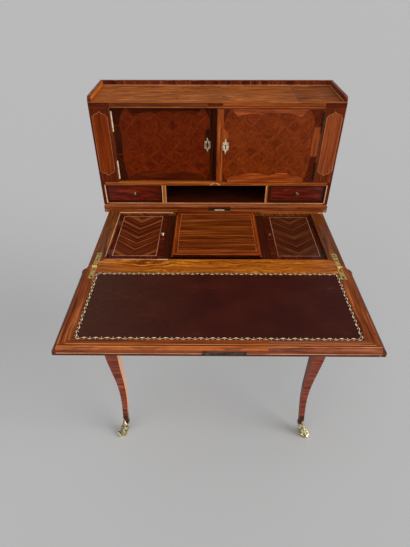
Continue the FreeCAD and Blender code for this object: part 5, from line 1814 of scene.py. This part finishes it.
@dataclass
class Screws:
    """Slotted screws in the hinge leaves, and the hinges that belong to no other part."""

    radius: float = 2.7
    slot_mm: float = 0.8
    dome_mm: float = 0.28
    crown: float = 0.72
    points: int = 8
    off_end: float = 6.0
    case_rows: Point = (28.0, 50.0)
    flap_rows: Point = (-11.0, -39.0)

    def build(self) -> None:
        """Set every screw of the flap's hinges."""
        dress(VARNISHED_BRASS, Grain.ALONG_Z, "lid_hinge_rail_leaves")
        dress(LIT_AND_SHADED_BRASS, Grain.ALONG_Z, "door_hinge_frame_leaves")
        dress(IRON, Grain.ALONG_Z, "door_lock")
        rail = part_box("front_rail")
        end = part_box("flap_hinge_case_leaves")[1].x - self.off_end * MM
        for sign, hand in ((-1, "left"), (1, "right")):
            for part, body, rows in (("case", "carcase", self.case_rows), ("flap", "flap", self.flap_rows)):
                for i, row in enumerate(rows):
                    place = Vector((sign * end, rail[0].y + row * MM, rail[1].z))
                    self.screw(f"{part}_screw_{hand}_{i}", place, body)

    def screw(self, name: str, place: Vector, body: str) -> None:
        """Set one low-domed head, cut by its slot into two halves.

        Args:
            name: The piece's name.
            place: The middle of the head's foot, in metres.
            body: The CAD body that it moves with.
        """
        bm = bmesh.new()
        turn = Matrix.Rotation(CHANCE.uniform(0, math.pi), 2)
        gap = math.asin(self.slot_mm / 2 / self.radius)
        for half in (0, math.pi):
            angles = [half + gap + k / self.points * (math.pi - 2 * gap) for k in range(self.points + 1)]
            rim = [turn @ Vector((self.radius * math.cos(a), self.radius * math.sin(a))) for a in angles]
            low, high = ([bm.verts.new(place + Vector((p.x * share, p.y * share, height)) * MM) for p in rim]
                         for share, height in ((1.0, 0.0), (self.crown, self.dome_mm)))
            bm.faces.new(high)
            bm.faces.new(low[::-1])
            for i in range(len(low)):
                bm.faces.new((low[i - 1], low[i], high[i], high[i - 1]))
        new_object(name, bm, [DARK_BRASS.material(Grain.ALONG_Z)], body)


# ---------------------------------------------------------------- studio

@dataclass(frozen=True)
class Lamp:
    """A far, broad lamp, as the sun is to Blender: its light's way, strength and softness."""

    name: str
    towards: tuple[float, float, float]
    strength: float
    spread: float


@dataclass
class Studio:
    """A plain pale floor, soft lamps and the camera. Together the light gives a level face its own colour."""

    camera_at: tuple[float, float, float] = (-0.0217, -0.897, 1.3375)
    pitch: float = 38.06
    yaw: float = -0.494
    roll: float = 0.063
    lens: float = 27.01
    nearest: float = 0.05
    floor_size: float = 40.0
    floor_colour: str = "#bcbcbc"
    floor_roughness: float = 0.9
    sky_colour: str = "#ffffff"
    sky_strength: float = 0.4
    lamps: tuple[Lamp, ...] = (Lamp("window", (0.80, -0.35, 0.48), 1.5, 40.0),
                               Lamp("ceiling", (-0.25, -0.65, 0.72), 1.0, 70.0),
                               Lamp("low window", (0.95, -0.25, 0.16), 1.6, 40.0))

    def build(self) -> None:
        """Make floor, light and camera."""
        self.make_floor()
        self.make_world()
        for lamp in self.lamps:
            self.make_lamp(lamp)
        self.make_camera()

    def make_floor(self) -> None:
        """A wide floor that meets the horizon."""
        bm = bmesh.new()
        bmesh.ops.create_grid(bm, x_segments=1, y_segments=1, size=self.floor_size)
        mesh = bpy.data.meshes.new("floor")
        bm.to_mesh(mesh)
        bm.free()
        floor = bpy.data.objects.new("floor", mesh)
        bpy.context.scene.collection.objects.link(floor)
        material = bpy.data.materials.new("pale studio floor")
        material.use_nodes = True
        tree = material.node_tree
        tree.nodes.clear()
        shader = add(tree, "BsdfPrincipled", {
            "Base Color": linear(self.floor_colour), "Roughness": self.floor_roughness})
        add(tree, "OutputMaterial", {"Surface": shader})
        mesh.materials.append(material)

    def make_world(self) -> None:
        """An even pale sky."""
        world = bpy.data.worlds.new("studio")
        world.use_nodes = True
        tree = world.node_tree
        tree.nodes.clear()
        sky = add(tree, "Background", {
            "Color": linear(self.sky_colour), "Strength": self.sky_strength})
        add(tree, "OutputWorld", {"Surface": sky})
        bpy.context.scene.world = world

    def make_lamp(self, lamp: Lamp) -> None:
        """Hang one lamp, turned so that its light comes from where it stands.

        Args:
            lamp: The lamp.
        """
        light = bpy.data.lights.new(lamp.name, "SUN")
        light.energy = lamp.strength
        light.angle = math.radians(lamp.spread)
        made = bpy.data.objects.new(lamp.name, light)
        made.rotation_euler = Vector(lamp.towards).to_track_quat("Z", "Y").to_euler()
        bpy.context.scene.collection.objects.link(made)

    def make_camera(self) -> None:
        """The camera stands before the desk at eye height and looks down on it."""
        data = bpy.data.cameras.new("camera")
        data.lens = self.lens
        data.clip_start = self.nearest
        camera = bpy.data.objects.new("camera", data)
        pitch, yaw, roll = (math.radians(v) for v in (self.pitch, self.yaw, self.roll))
        forward = Vector((math.sin(yaw) * math.cos(pitch), math.cos(yaw) * math.cos(pitch), -math.sin(pitch)))
        level = Vector((math.cos(yaw), -math.sin(yaw), 0.0))
        down = forward.cross(level)
        right = level * math.cos(roll) + down * math.sin(roll)
        up = level * math.sin(roll) - down * math.cos(roll)
        turn = Matrix((right, up, -forward)).transposed()
        camera.matrix_world = Matrix.Translation(self.camera_at) @ turn.to_4x4()
        bpy.context.scene.collection.objects.link(camera)
        bpy.context.scene.camera = camera
        bpy.context.scene.view_settings.view_transform = "Standard"


def main() -> None:
    """Build every sub-assembly's looks, then the studio."""
    logging.basicConfig(level=logging.INFO, format="%(message)s")
    # The left door's strips and corners are painted with the shade of its recess
    left_woods = DoorWoods(LOZENGES_LEFT, SHADED_BAND, RECESS_SHADE_BAND, RECESS_SHADE_BAND, FAINT_STRING)
    right_woods = DoorWoods(LOZENGES_RIGHT, DOOR_BAND, TULIP_BAND, AMARANTH, AMARANTH)
    left_flitch = (CHEVRON_PALE, CHEVRON_DARK, CHEVRON_RED, CHEVRON_DARK)
    right_flitch = (CHEVRON_BROWN, CHEVRON_DUSK, CHEVRON_DARK, CHEVRON_DUSK)
    parts = [
        Cabinet(),
        Door("left", left_woods, GREY_BRASS, LIT_HINGE_BRASS),
        # The right door's hinges take the dark brass, which also paints their shade
        Door("right", right_woods, PALE_BRASS, DARK_BRASS),
        Drawer("left"),
        Drawer("right"),
        Case(),
        Lid("left", (12.2, 24.8, 123.1, 220.9), 66.0, 11, left_flitch, GREY_BRASS, STRINGING,
            VARNISHED_BRASS),
        Lid("right", (20.8, 25.9, 126.2, 219.0), 74.5, 12, right_flitch, GREEN_BRASS, PINK_STRING,
            GREEN_BRASS),
        SlidingPanel(),
        Flap(),
        Stand(),
        Screws(),
        Studio()]
    for part in parts:
        part.build()
        LOG.info("built %s", type(part).__name__)


if __name__ == "__main__":
    main()
